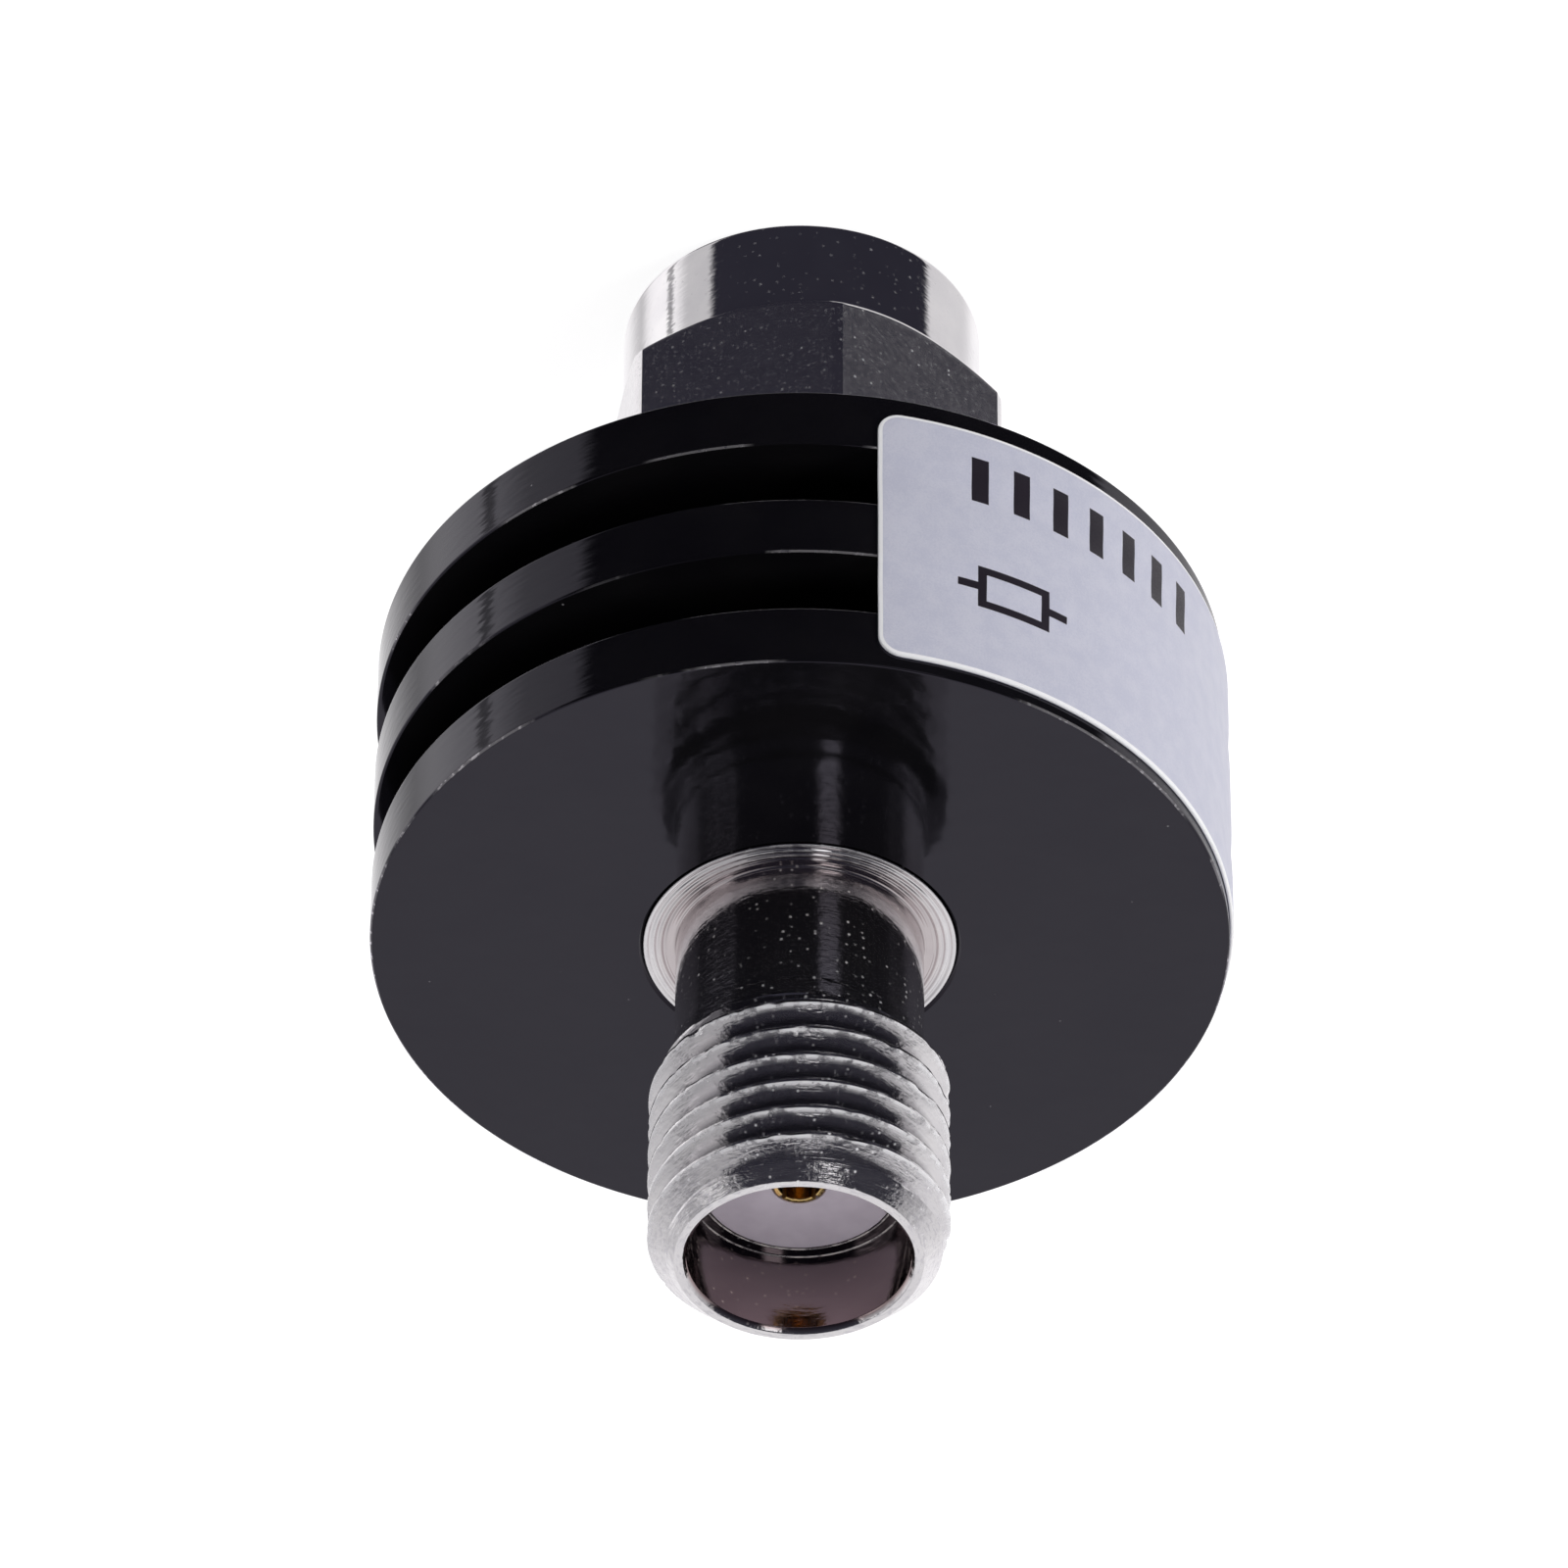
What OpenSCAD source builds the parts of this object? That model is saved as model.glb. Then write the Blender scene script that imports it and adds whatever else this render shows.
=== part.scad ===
// Fixed coaxial attenuator: a finned heat sink on a short coaxial line, with a threaded
// jack at the top and a plug with a free coupling nut at the bottom.
// It stands on the end of the nut, with the line along Z.

/* [Heat sink] */
// Outer diameter of the fins
sink_d = 18; // [16:0.5:24]
// Thickness of each fin
fin_t = 1.46; // [1.3:0.02:2.5]
// Width of each groove between two fins
groove_w = 1.56; // [1.3:0.02:2.5]
// Number of fins
fin_count = 3; // [3:1:6]
// Diameter at the floor of the grooves
groove_floor_d = 10; // [8.5:0.5:14]
// Bore that the line body is pushed into
sink_bore_d = 6.6; // [6.5:0.05:7]
// Chamfer on the fin edges and the bore edges
sink_edge = 0.1; // [0.04:0.01:0.2]

/* [Label] */
// Thickness of the foil label
label_t = 0.08; // [0.05:0.01:0.2]
// Angle at which the label starts, counted from the X axis
label_start = 144; // [100:1:180]
// Angle that the label covers
label_sweep = 116; // [60:1:150]
// Bare width between a label in the middle of the heat sink and each end face
label_margin = 0.4; // [0.2:0.05:0.8]
// How far the label sits from the middle towards the jack
label_shift = 0.1; // [0:0.05:0.15]
// Corner radius of the label
label_corner = 0.5; // [0.2:0.05:0.8]

/* [Thread] */
// Crest diameter of the jack thread
thread_d = 6.25; // [6.1:0.01:6.35]
// Thread pitch
thread_pitch = 0.7056; // [0.6:0.0002:0.8]
// Radial room of the nut thread outside the crests of the jack thread
thread_room = 0.075; // [0.03:0.005:0.12]

/* [Jack] */
// Length of the jack in front of the heat sink
jack_len = 8.46; // [8:0.02:12]
// Diameter of the plain neck
neck_d = 5.2; // [5:0.05:5.4]
// Length of the plain neck
neck_len = 3.05; // [1.5:0.01:3.5]
// Plain length between the neck and the first thread
thread_lead = 0.77; // [0.5:0.01:0.8]
// Height of the cone that joins the neck to the flange face
neck_foot = 0.1; // [0.06:0.02:0.3]
// Thickness of the flange inside the heat sink
jack_flange_t = 1.75; // [1:0.05:2]
// Diameter of the mouth
mouth_d = 4.6; // [4.55:0.01:4.7]
// Depth of the mouth down to the reference plane
mouth_depth = 1.98; // [1.6:0.02:2.5]
// Outer diameter of the flat rim at the mouth
rim_d = 5.14; // [5:0.01:5.4]
// Chamfer inside the mouth
mouth_edge = 0.1; // [0.05:0.01:0.15]

/* [Coaxial line] */
// Diameter of the line bore in both shells
line_d = 4.1; // [3.9:0.02:4.2]
// Diameter of the centre conductors
conductor_d = 1.27; // [1.1:0.01:1.4]
// Diameter of the hole in the jack contact
socket_d = 0.94; // [0.92:0.01:0.98]
// Depth of the hole in the jack contact
socket_depth = 2.6; // [2:0.1:3.2]
// Outer diameter of the jack contact at its tip
contact_tip_d = 1.08; // [1.06:0.01:1.2]
// Length over which the jack contact narrows to its tip
contact_taper = 0.5; // [0.3:0.05:0.8]
// Width of the slots that make the jack contact springy
socket_slot_w = 0.12; // [0.08:0.01:0.14]
// Number of slots in the jack contact
socket_slots = 4; // [2:2:4]
// Diameter of the collar on each centre conductor
collar_d = 2; // [1.6:0.05:2.2]
// Thickness of the collars
collar_t = 0.3; // [0.2:0.02:0.34]
// Height of the step that keeps each insulator in its shell
insulator_step_h = 0.3; // [0.2:0.02:0.5]
// Radial width of the step on the jack insulator
insulator_step_w = 0.2; // [0.1:0.02:0.25]

/* [Attenuator chip] */
// Length of the chip along the line
chip_len = 3; // [2.4:0.1:3.4]
// Width of the chip
chip_w = 3.4; // [3:0.1:3.8]
// Thickness of the chip
chip_t = 0.5; // [0.3:0.05:0.6]
// Length over which a conductor grips the chip
chip_grip = 0.6; // [0.4:0.05:0.8]
// Free space at each end of the chip
chip_end_room = 0.4; // [0.35:0.01:0.6]
// Diameter of the channel along the clamp halves
channel_d = 2.5; // [2.3:0.05:2.7]

/* [Plug] */
// Distance from the end of the nut back to the reference plane of the plug
plug_recess = 2.7; // [2.5:0.05:3.2]
// Length of the ferrule in front of the shoulder
ferrule_len = 2.7; // [2.4:0.05:3]
// Outer diameter of the ferrule
ferrule_d = 4.57; // [4.5:0.01:4.59]
// Diameter of the contact pin
pin_d = 0.92; // [0.9:0.01:0.94]
// Length of the contact pin in front of the reference plane
pin_reach = 1.9; // [1.4:0.1:2.2]
// Diameter of the bearing that the nut turns on
bearing_d = 5.5; // [5.3:0.02:5.54]
// Diameter of the flange between the nut and the heat sink
plug_flange_d = 7.5; // [7:0.1:8]
// Thickness of the flange between the nut and the heat sink
plug_flange_t = 1.45; // [1:0.05:2]
// Inner diameter of the tube inside the heat sink
tube_bore_d = 5; // [4.9:0.05:5.2]
// Thickness of the gasket on the shoulder
gasket_t = 0.65; // [0.4:0.05:0.8]

/* [Coupling nut] */
// Length of the nut
nut_len = 8; // [7.6:0.1:9]
// Width across the flats
nut_flats = 8; // [7.95:0.05:8.4]
// Diameter to which the corners of the hexagon are turned
nut_corner_d = 9.1; // [8.8:0.05:9.15]
// Diameter of the plain barrel in front of the hexagon
barrel_d = 7.75; // [7.5:0.05:7.9]
// Length of the barrel, up to the middle of the flats
barrel_len = 2.45; // [1.5:0.05:3]
// Slope of the turned chamfers on the hexagon
hex_chamfer = 39; // [20:1:45]
// Chamfer on the end edges of the barrel
nut_edge = 0.12; // [0.05:0.01:0.2]
// Turn of the hexagon about the axis
nut_turn = 20.5; // [0:0.5:60]
// Depth of the plain lead-in at the mouth of the nut
lead_in = 0.72; // [0.4:0.02:0.75]
// Diameter of the plain lead-in at the mouth of the nut
lead_in_d = 6.72; // [6.6:0.02:6.9]
// Free travel of the nut along the axis
nut_float = 0.3; // [0.1:0.05:0.4]

/* [Retaining ring] */
// Thickness of the ring
ring_t = 0.6; // [0.4:0.05:0.7]
// Inner diameter of the ring
ring_id = 5; // [4.9:0.05:5.1]
// Outer diameter of the ring
ring_od = 6.6; // [6.3:0.05:6.8]
// Distance from the shoulder back to the ring
ring_setback = 1; // [0.8:0.05:1.2]
// Angle of the gap in the ring
ring_gap = 40; // [20:5:60]

/* [Clearances] */
// Radial gap between pieces that are pushed together
push_clear = 0.02; // [0.01:0.005:0.03]
// Radial gap between the nut and what it turns on
run_clear = 0.05; // [0.02:0.01:0.08]
// Gap along the axis at the ring
end_clear = 0.02; // [0.01:0.005:0.05]

/* [Hidden] */
$fn = 96;

// Heights along the axis, from the end of the nut upwards
plug_ref_z = plug_recess;
shoulder_z = plug_ref_z + ferrule_len;
ring_z = shoulder_z + ring_setback;
flange_z = nut_len + nut_float;
sink_z = flange_z + plug_flange_t;
sink_len = fin_count * fin_t + (fin_count - 1) * groove_w;
face_z = sink_z + sink_len;
tube_end_z = face_z - jack_flange_t;
tube_floor_z = sink_z;
clamp_z = tube_floor_z + insulator_step_h;
clamp_len = chip_len + 2 * chip_end_room;
spigot_z = clamp_z + clamp_len;
chip_z = clamp_z + chip_end_room;
jack_ref_z = face_z + jack_len - mouth_depth;
jack_end_z = face_z + jack_len;

// Radii
sink_r = sink_d / 2;
line_r = line_d / 2;
body_r = sink_bore_d / 2 - push_clear;
tube_bore_r = tube_bore_d / 2;
insulator_r = line_r - push_clear;
conductor_r = conductor_d / 2;
bearing_r = bearing_d / 2;
barrel_r = barrel_d / 2;
nut_flat_r = nut_flats / 2;
lead_in_r = lead_in_d / 2;
overshoot = 1;
label_corner_ease = 1.04;

// Unified thread form: crest flat, flank and depth follow from the pitch
thread_r = thread_d / 2;
thread_depth = 0.61343 * thread_pitch;
thread_root_r = thread_r - thread_depth;
thread_flat = thread_pitch / 8;
nut_minor_r = thread_r - 0.375 * thread_pitch;
nut_major_r = thread_r + thread_room;

// The front chamfer of the hexagon runs down to the barrel, where the barrel ends
hex_slope = tan(hex_chamfer);
hex_front_z = barrel_len - (nut_flat_r - barrel_r) * hex_slope;

// Zigzag of thread crests from height z0 up to at most z1, as [radius, height] points
function thread_teeth(z0, z1, foot_r, crest_r) =
    let (half = thread_flat / 2 + abs(crest_r - foot_r) * tan(30))
    [for (z = [z0 + half : thread_pitch : z1 - half])
        each [[foot_r, z - half], [crest_r, z - thread_flat / 2],
              [crest_r, z + thread_flat / 2], [foot_r, z + half]]];

// Outline of one fin, from its lower root to its upper root
function fin_points(z) = [
    [groove_floor_d / 2, z], [sink_r - sink_edge, z], [sink_r, z + sink_edge],
    [sink_r, z + fin_t - sink_edge], [sink_r - sink_edge, z + fin_t], [groove_floor_d / 2, z + fin_t]];

// The slot that grips the chip, cut out of the end of a conductor
module chip_slot() {
    slot_t = chip_t + 2 * push_clear;
    translate([-conductor_d, -slot_t / 2, chip_z])
        cube([2 * conductor_d, slot_t, chip_len]);
}

module heat_sink() {
    bore_r = sink_bore_d / 2;
    color("#26242a")
    translate([0, 0, sink_z])
    rotate_extrude()
        polygon(concat(
            [[bore_r + sink_edge, 0]],
            [for (i = [0 : fin_count - 1]) each fin_points(i * (fin_t + groove_w))],
            [[bore_r + sink_edge, sink_len], [bore_r, sink_len - sink_edge], [bore_r, sink_edge]]));
}

// What is cut off one label corner, as a bar along X: a square less a quarter disc, which is a
// little larger than the corner so that it crosses the edges instead of touching them
module label_corner_cut(reach) {
    rotate([90, 0, 90])
    linear_extrude(reach)
    difference() {
        translate([-overshoot, -overshoot])
            square(overshoot + label_corner);
        translate([label_corner, label_corner])
            circle(label_corner * label_corner_ease);
    }
}

module label() {
    inner_r = sink_r + push_clear / 2;
    label_h = sink_len - 2 * label_margin;
    reach = inner_r + label_t + overshoot;
    color("#c9c9cd")
    translate([0, 0, sink_z + label_margin + label_shift])
    difference() {
        rotate_extrude(angle = label_sweep, start = label_start)
            translate([inner_r, 0])
            square([label_t, label_h]);
        rotate([0, 0, label_start])
            label_corner_cut(reach);
        rotate([0, 0, label_start + label_sweep])
            mirror([0, 1, 0])
            label_corner_cut(reach);
        translate([0, 0, label_h])
        mirror([0, 0, 1]) {
            rotate([0, 0, label_start])
                label_corner_cut(reach);
            rotate([0, 0, label_start + label_sweep])
                mirror([0, 1, 0])
                label_corner_cut(reach);
        }
    }
}

// Threaded end of the jack, with its crests turned away by a 45 degree cone at both ends
module jack_thread() {
    neck_r = neck_d / 2;
    start_z = face_z + neck_len;
    wide = thread_depth + overshoot;
    intersection() {
        rotate_extrude()
            polygon(concat(
                [[line_r, start_z - overshoot], [thread_root_r, start_z - overshoot]],
                thread_teeth(start_z + thread_lead, jack_end_z + thread_pitch, thread_root_r, thread_r),
                [[thread_root_r, jack_end_z + overshoot], [line_r, jack_end_z + overshoot]]));
        rotate_extrude()
            polygon([[0, start_z], [neck_r, start_z], [neck_r + wide, start_z + wide],
                [rim_d / 2 + wide, jack_end_z - wide], [rim_d / 2, jack_end_z], [0, jack_end_z]]);
    }
}

module jack_shell() {
    neck_r = neck_d / 2;
    spigot_r = tube_bore_r - push_clear;
    mouth_r = mouth_d / 2;
    step_z = spigot_z + insulator_step_h;
    step_r = line_r + insulator_step_w;
    color("#cfcbc6")
    difference() {
        union() {
            rotate_extrude()
                polygon([[0, spigot_z], [spigot_r, spigot_z], [spigot_r, tube_end_z], [body_r, tube_end_z],
                    [body_r, face_z - sink_edge], [body_r - sink_edge, face_z], [neck_r + neck_foot, face_z],
                    [neck_r, face_z + neck_foot], [neck_r, face_z + neck_len + neck_foot],
                    [0, face_z + neck_len + neck_foot]]);
            jack_thread();
        }
        rotate_extrude()
            polygon([[0, spigot_z - overshoot], [step_r, spigot_z - overshoot], [step_r, step_z],
                [line_r, step_z], [line_r, jack_ref_z], [mouth_r, jack_ref_z],
                [mouth_r, jack_end_z - mouth_edge],
                [mouth_r + mouth_edge + overshoot, jack_end_z + overshoot], [0, jack_end_z + overshoot]]);
    }
}

// Bead of the jack; its bore narrows with the tip of the contact
module jack_insulator() {
    step_r = line_r + insulator_step_w - push_clear;
    step_z = spigot_z + insulator_step_h;
    bore_r = conductor_r + push_clear;
    tip_bore_r = contact_tip_d / 2 + push_clear;
    color("#d8d8da")
    rotate_extrude()
        polygon([[bore_r, spigot_z], [step_r, spigot_z], [step_r, step_z], [insulator_r, step_z],
            [insulator_r, jack_ref_z], [tip_bore_r, jack_ref_z], [bore_r, jack_ref_z - contact_taper]]);
}

// Rear collar faces the chip; the mouth end is a slotted spring socket
module jack_contact() {
    lower_z = chip_z + chip_len - chip_grip;
    socket_r = socket_d / 2;
    floor_z = jack_ref_z - socket_depth;
    color("#caa24a")
    difference() {
        rotate_extrude()
            polygon([[0, lower_z], [conductor_r, lower_z], [conductor_r, spigot_z - collar_t],
                [collar_d / 2, spigot_z - collar_t], [collar_d / 2, spigot_z], [conductor_r, spigot_z],
                [conductor_r, jack_ref_z - contact_taper], [contact_tip_d / 2, jack_ref_z],
                [socket_r, jack_ref_z], [socket_r, floor_z],
                [0, floor_z - socket_r * tan(30)]]);
        chip_slot();
        for (i = [0 : socket_slots / 2 - 1])
            rotate([0, 0, 45 + 180 * i / (socket_slots / 2)])
            translate([-conductor_d, -socket_slot_w / 2, floor_z + socket_slot_w])
                cube([2 * conductor_d, socket_slot_w, socket_depth]);
    }
}

module attenuator_chip() {
    color("#e9e4da")
    translate([-chip_w / 2, -chip_t / 2, chip_z])
        cube([chip_w, chip_t, chip_len]);
}

// One half of the split clamp that grips both long edges of the chip, on the side of +Y
module clamp_half() {
    clamp_r = tube_bore_r - push_clear;
    difference() {
        translate([0, 0, clamp_z])
        rotate_extrude(angle = 180)
            translate([channel_d / 2, 0])
            square([clamp_r - channel_d / 2, clamp_len]);
        translate([-chip_w / 2 - push_clear, -overshoot, chip_z - push_clear])
            cube([chip_w + 2 * push_clear, overshoot + chip_t / 2 + push_clear, chip_len + 2 * push_clear]);
    }
}

module clamp_half_front() {
    color("#b9a06a")
    rotate([0, 0, 180])
        clamp_half();
}

module clamp_half_rear() {
    color("#b9a06a")
    clamp_half();
}

module plug_shell() {
    ferrule_r = ferrule_d / 2;
    ferrule_edge = (ferrule_r - line_r) / 4;
    ring_floor_r = ring_id / 2 - run_clear;
    groove_low_z = ring_z - nut_float - end_clear;
    groove_high_z = ring_z + ring_t + end_clear;
    color("#cfcbc6")
    rotate_extrude()
        polygon([[line_r, plug_ref_z], [ferrule_r - ferrule_edge, plug_ref_z],
            [ferrule_r, plug_ref_z + ferrule_edge], [ferrule_r, shoulder_z], [bearing_r, shoulder_z],
            [bearing_r, groove_low_z], [ring_floor_r, groove_low_z], [ring_floor_r, groove_high_z],
            [bearing_r, groove_high_z], [bearing_r, flange_z], [plug_flange_d / 2 - sink_edge, flange_z],
            [plug_flange_d / 2, flange_z + sink_edge], [plug_flange_d / 2, sink_z], [body_r, sink_z],
            [body_r, tube_end_z], [tube_bore_r, tube_end_z], [tube_bore_r, tube_floor_z],
            [line_r, tube_floor_z]]);
}

module plug_insulator() {
    step_r = tube_bore_r - push_clear;
    bore_r = conductor_r + push_clear;
    color("#d8d8da")
    rotate_extrude()
        polygon([[bore_r, plug_ref_z], [insulator_r, plug_ref_z], [insulator_r, tube_floor_z],
            [step_r, tube_floor_z], [step_r, clamp_z], [bore_r, clamp_z]]);
}

module plug_pin() {
    pin_r = pin_d / 2;
    tip_z = plug_ref_z - pin_reach;
    upper_z = chip_z + chip_grip;
    color("#caa24a")
    difference() {
        rotate_extrude()
            polygon([[0, tip_z], [pin_r / 2, tip_z], [pin_r, tip_z + pin_r], [pin_r, plug_ref_z],
                [conductor_r, plug_ref_z], [conductor_r, clamp_z], [collar_d / 2, clamp_z],
                [collar_d / 2, clamp_z + collar_t], [conductor_r, clamp_z + collar_t],
                [conductor_r, upper_z], [0, upper_z]]);
        chip_slot();
    }
}

module gasket() {
    color("#b5523a")
    translate([0, 0, shoulder_z - gasket_t])
    rotate_extrude()
        translate([ferrule_d / 2 + push_clear, 0])
        square([bearing_r - ferrule_d / 2 - push_clear, gasket_t]);
}

module retaining_ring() {
    color("#b8b4ad")
    translate([0, 0, ring_z])
    rotate_extrude(angle = 360 - ring_gap, start = ring_gap / 2)
        translate([ring_id / 2, 0])
        square([(ring_od - ring_id) / 2, ring_t]);
}

// Hexagon with its corners turned down and both ends chamfered on the lathe
module nut_hexagon() {
    corner_r = nut_corner_d / 2;
    chamfer_h = (corner_r - nut_flat_r) * hex_slope;
    intersection() {
        rotate([0, 0, nut_turn])
            cylinder(r = nut_flat_r / cos(30), h = nut_len, $fn = 6);
        rotate_extrude()
            polygon([[0, hex_front_z], [barrel_r, hex_front_z], [corner_r, barrel_len + chamfer_h],
                [corner_r, nut_len - chamfer_h], [nut_flat_r, nut_len], [0, nut_len]]);
    }
}

module coupling_nut() {
    thread_start_z = lead_in + lead_in_r - nut_minor_r;
    thread_end_z = shoulder_z - gasket_t - nut_float;
    relief_end_z = shoulder_z + nut_float - end_clear;
    bearing_bore_r = bearing_r + run_clear;
    ring_room_r = ring_od / 2 + run_clear;
    color("#cfcbc6")
    difference() {
        union() {
            rotate_extrude()
                polygon([[0, 0], [barrel_r - nut_edge, 0], [barrel_r, nut_edge],
                    [barrel_r, hex_front_z], [0, hex_front_z]]);
            nut_hexagon();
        }
        rotate_extrude()
            polygon(concat(
                [[0, -overshoot], [lead_in_r, -overshoot], [lead_in_r, lead_in],
                 [nut_minor_r, thread_start_z]],
                thread_teeth(thread_start_z, thread_end_z, nut_minor_r, nut_major_r),
                [[nut_minor_r, thread_end_z], [nut_major_r, thread_end_z], [nut_major_r, relief_end_z],
                 [bearing_bore_r, relief_end_z], [bearing_bore_r, ring_z - end_clear],
                 [ring_room_r, ring_z - end_clear], [ring_room_r, ring_z + ring_t + end_clear],
                 [bearing_bore_r, ring_z + ring_t + end_clear], [bearing_bore_r, nut_len + overshoot],
                 [0, nut_len + overshoot]]));
    }
}

heat_sink();
label();
jack_shell();
jack_insulator();
jack_contact();
attenuator_chip();
clamp_half_front();
clamp_half_rear();
plug_shell();
plug_insulator();
plug_pin();
gasket();
retaining_ring();
coupling_nut();
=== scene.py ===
"""Looks of a fixed coaxial attenuator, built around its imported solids."""

import math

import bmesh
import bpy
from mathutils import Matrix, Vector, noise


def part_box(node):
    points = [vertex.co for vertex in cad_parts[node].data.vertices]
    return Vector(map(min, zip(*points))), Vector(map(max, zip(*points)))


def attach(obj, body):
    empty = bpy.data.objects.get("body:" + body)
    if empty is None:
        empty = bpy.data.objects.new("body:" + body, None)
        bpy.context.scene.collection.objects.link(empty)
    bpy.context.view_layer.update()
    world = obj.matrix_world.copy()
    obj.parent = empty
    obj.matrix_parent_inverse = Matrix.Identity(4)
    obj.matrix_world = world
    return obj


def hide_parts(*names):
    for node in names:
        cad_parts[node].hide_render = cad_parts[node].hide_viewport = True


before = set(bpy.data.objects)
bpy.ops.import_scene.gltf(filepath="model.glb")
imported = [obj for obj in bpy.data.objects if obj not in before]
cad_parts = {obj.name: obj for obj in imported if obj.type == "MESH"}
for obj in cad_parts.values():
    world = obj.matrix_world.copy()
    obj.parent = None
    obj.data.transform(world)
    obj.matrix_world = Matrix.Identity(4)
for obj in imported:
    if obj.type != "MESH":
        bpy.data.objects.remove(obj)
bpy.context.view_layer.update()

# One millimetre in the frame's unit; the sizes below are in millimetres
MM = 0.001

# Heights along the axis, read from the solids
SINK_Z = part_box("heat_sink")[0].z / MM
FACE_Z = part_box("heat_sink")[1].z / MM
JACK_END_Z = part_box("jack_shell")[1].z / MM
SPIGOT_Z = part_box("jack_shell")[0].z / MM
JACK_REF_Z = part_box("jack_contact")[1].z / MM
CONTACT_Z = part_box("jack_contact")[0].z / MM
PIN_TIP_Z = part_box("plug_pin")[0].z / MM
PIN_END_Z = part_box("plug_pin")[1].z / MM
PLUG_REF_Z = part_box("plug_shell")[0].z / MM
TUBE_END_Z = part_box("plug_shell")[1].z / MM
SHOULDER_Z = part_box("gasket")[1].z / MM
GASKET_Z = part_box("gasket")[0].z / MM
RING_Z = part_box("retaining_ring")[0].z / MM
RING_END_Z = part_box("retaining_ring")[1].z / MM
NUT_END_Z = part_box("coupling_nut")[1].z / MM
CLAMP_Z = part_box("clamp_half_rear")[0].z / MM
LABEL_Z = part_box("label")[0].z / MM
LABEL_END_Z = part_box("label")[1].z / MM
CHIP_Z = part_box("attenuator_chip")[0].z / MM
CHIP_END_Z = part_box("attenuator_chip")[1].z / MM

# Radii and other sizes of the solids
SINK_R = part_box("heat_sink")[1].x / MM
FIN_T = 1.46
GROOVE_W = 1.56
GROOVE_FLOOR_R = 5.0
SINK_BORE_R = 3.3
SINK_EDGE = 0.1
BODY_R = 3.28
TUBE_BORE_R = 2.5
SPIGOT_R = 2.48
STEP_H = 0.3
NECK_R = 2.6
NECK_LEN = 3.05
THREAD_R = 3.125
THREAD_PITCH = 0.7056
THREAD_DEPTH = 0.61343 * THREAD_PITCH
THREAD_FLAT = THREAD_PITCH / 8
THREAD_ROOT_R = THREAD_R - THREAD_DEPTH
THREAD_CREST_Z = 21.36
FLANK_SLOPE = math.tan(math.radians(30))
RIM_R = 2.57
MOUTH_R = 2.3
MOUTH_EDGE = 0.1
LINE_R = 2.05
BEAD_R = 2.03
BEAD_BORE_R = 0.655
CONDUCTOR_R = 0.635
SOCKET_R = 0.47
SOCKET_DEPTH = 2.6
SOCKET_SLOT_W = 0.12
CONTACT_TIP_R = 0.54
CONTACT_TAPER = 0.5
COLLAR_R = 1.0
COLLAR_T = 0.3
PIN_R = 0.46
FERRULE_R = 2.285
BEARING_R = 2.75
RING_FLOOR_R = 2.45
FLANGE_R = 3.75
FLANGE_Z = 8.3
RING_INNER_R = 2.5
RING_OUTER_R = 3.3
RING_GAP = math.radians(40)
NUT_FLOAT = 0.3
END_CLEAR = 0.02
BARREL_R = 3.875
BARREL_LEN = 2.45
FLAT_R = 4.0
CORNER_R = 4.55
HEX_TURN = math.radians(20.5)
HEX_SLOPE = math.tan(math.radians(39))
NUT_EDGE = 0.12
LEAD_IN_R = 3.36
LEAD_IN = 0.72
NUT_MINOR_R = THREAD_R - 0.375 * THREAD_PITCH
NUT_MAJOR_R = 3.2
BEARING_BORE_R = 2.8
RING_ROOM_R = 3.35
LABEL_INNER_R = 9.01
LABEL_T = 0.08
LABEL_CENTRE = math.radians(202)
LABEL_SWEEP = math.radians(116)
LABEL_CORNER = 0.5

# How finely the pieces are divided
COLUMNS = 240
FILLET_STEPS = 6
TOOTH_STEPS = 4
SHARP_ANGLE = math.radians(22)
WELD = 1e-7

EVEN_ANGLES = [2 * math.pi * j / COLUMNS for j in range(COLUMNS)]


# Mesh helpers

def rounded(corners, closed, steps=FILLET_STEPS, collar=0.5):
    """Points (radius, height, edge) of an outline whose corners are (radius, height, fillet).
    A point beside each fillet, up to collar times its radius away, keeps the straight stretches straight
    when they are shaded."""
    count = len(corners)
    spots = [Vector(corner[:2]) for corner in corners]

    def ways(i):
        back = (spots[i - 1] - spots[i]).normalized()
        ahead = (spots[(i + 1) % count] - spots[i]).normalized()
        return back, ahead, back.angle(ahead) / 2

    def reach_at(i):
        if corners[i][2] == 0 or not (closed or 0 < i < count - 1):
            return 0.0
        return corners[i][2] / math.tan(ways(i)[2])

    reaches = [reach_at(i) for i in range(count)]

    def beside(i, k):
        free = (spots[k] - spots[i]).length - reaches[i] - reaches[k]
        return min(collar * corners[i][2], free / 3)

    points = []
    for i, spot in enumerate(spots):
        if reaches[i] == 0:
            points.append((*spot, 0.0))
            continue
        back, ahead, half = ways(i)
        middle = spot + (back + ahead).normalized() * corners[i][2] / math.sin(half)
        start = spot + back * reaches[i] - middle
        end = spot + ahead * reaches[i] - middle
        sweep = math.pi - 2 * half
        if collar > 0:
            points.append((*(middle + start + back * beside(i, i - 1)), 0.0))
        for k in range(steps + 1):
            t = k / steps
            spoke = (start * math.sin((1 - t) * sweep) + end * math.sin(t * sweep)) / math.sin(sweep)
            points.append((*(middle + spoke), math.sin(math.pi * t)))
        if collar > 0:
            points.append((*(middle + end + ahead * beside(i, (i + 1) % count)), 0.0))
    return points


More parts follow.
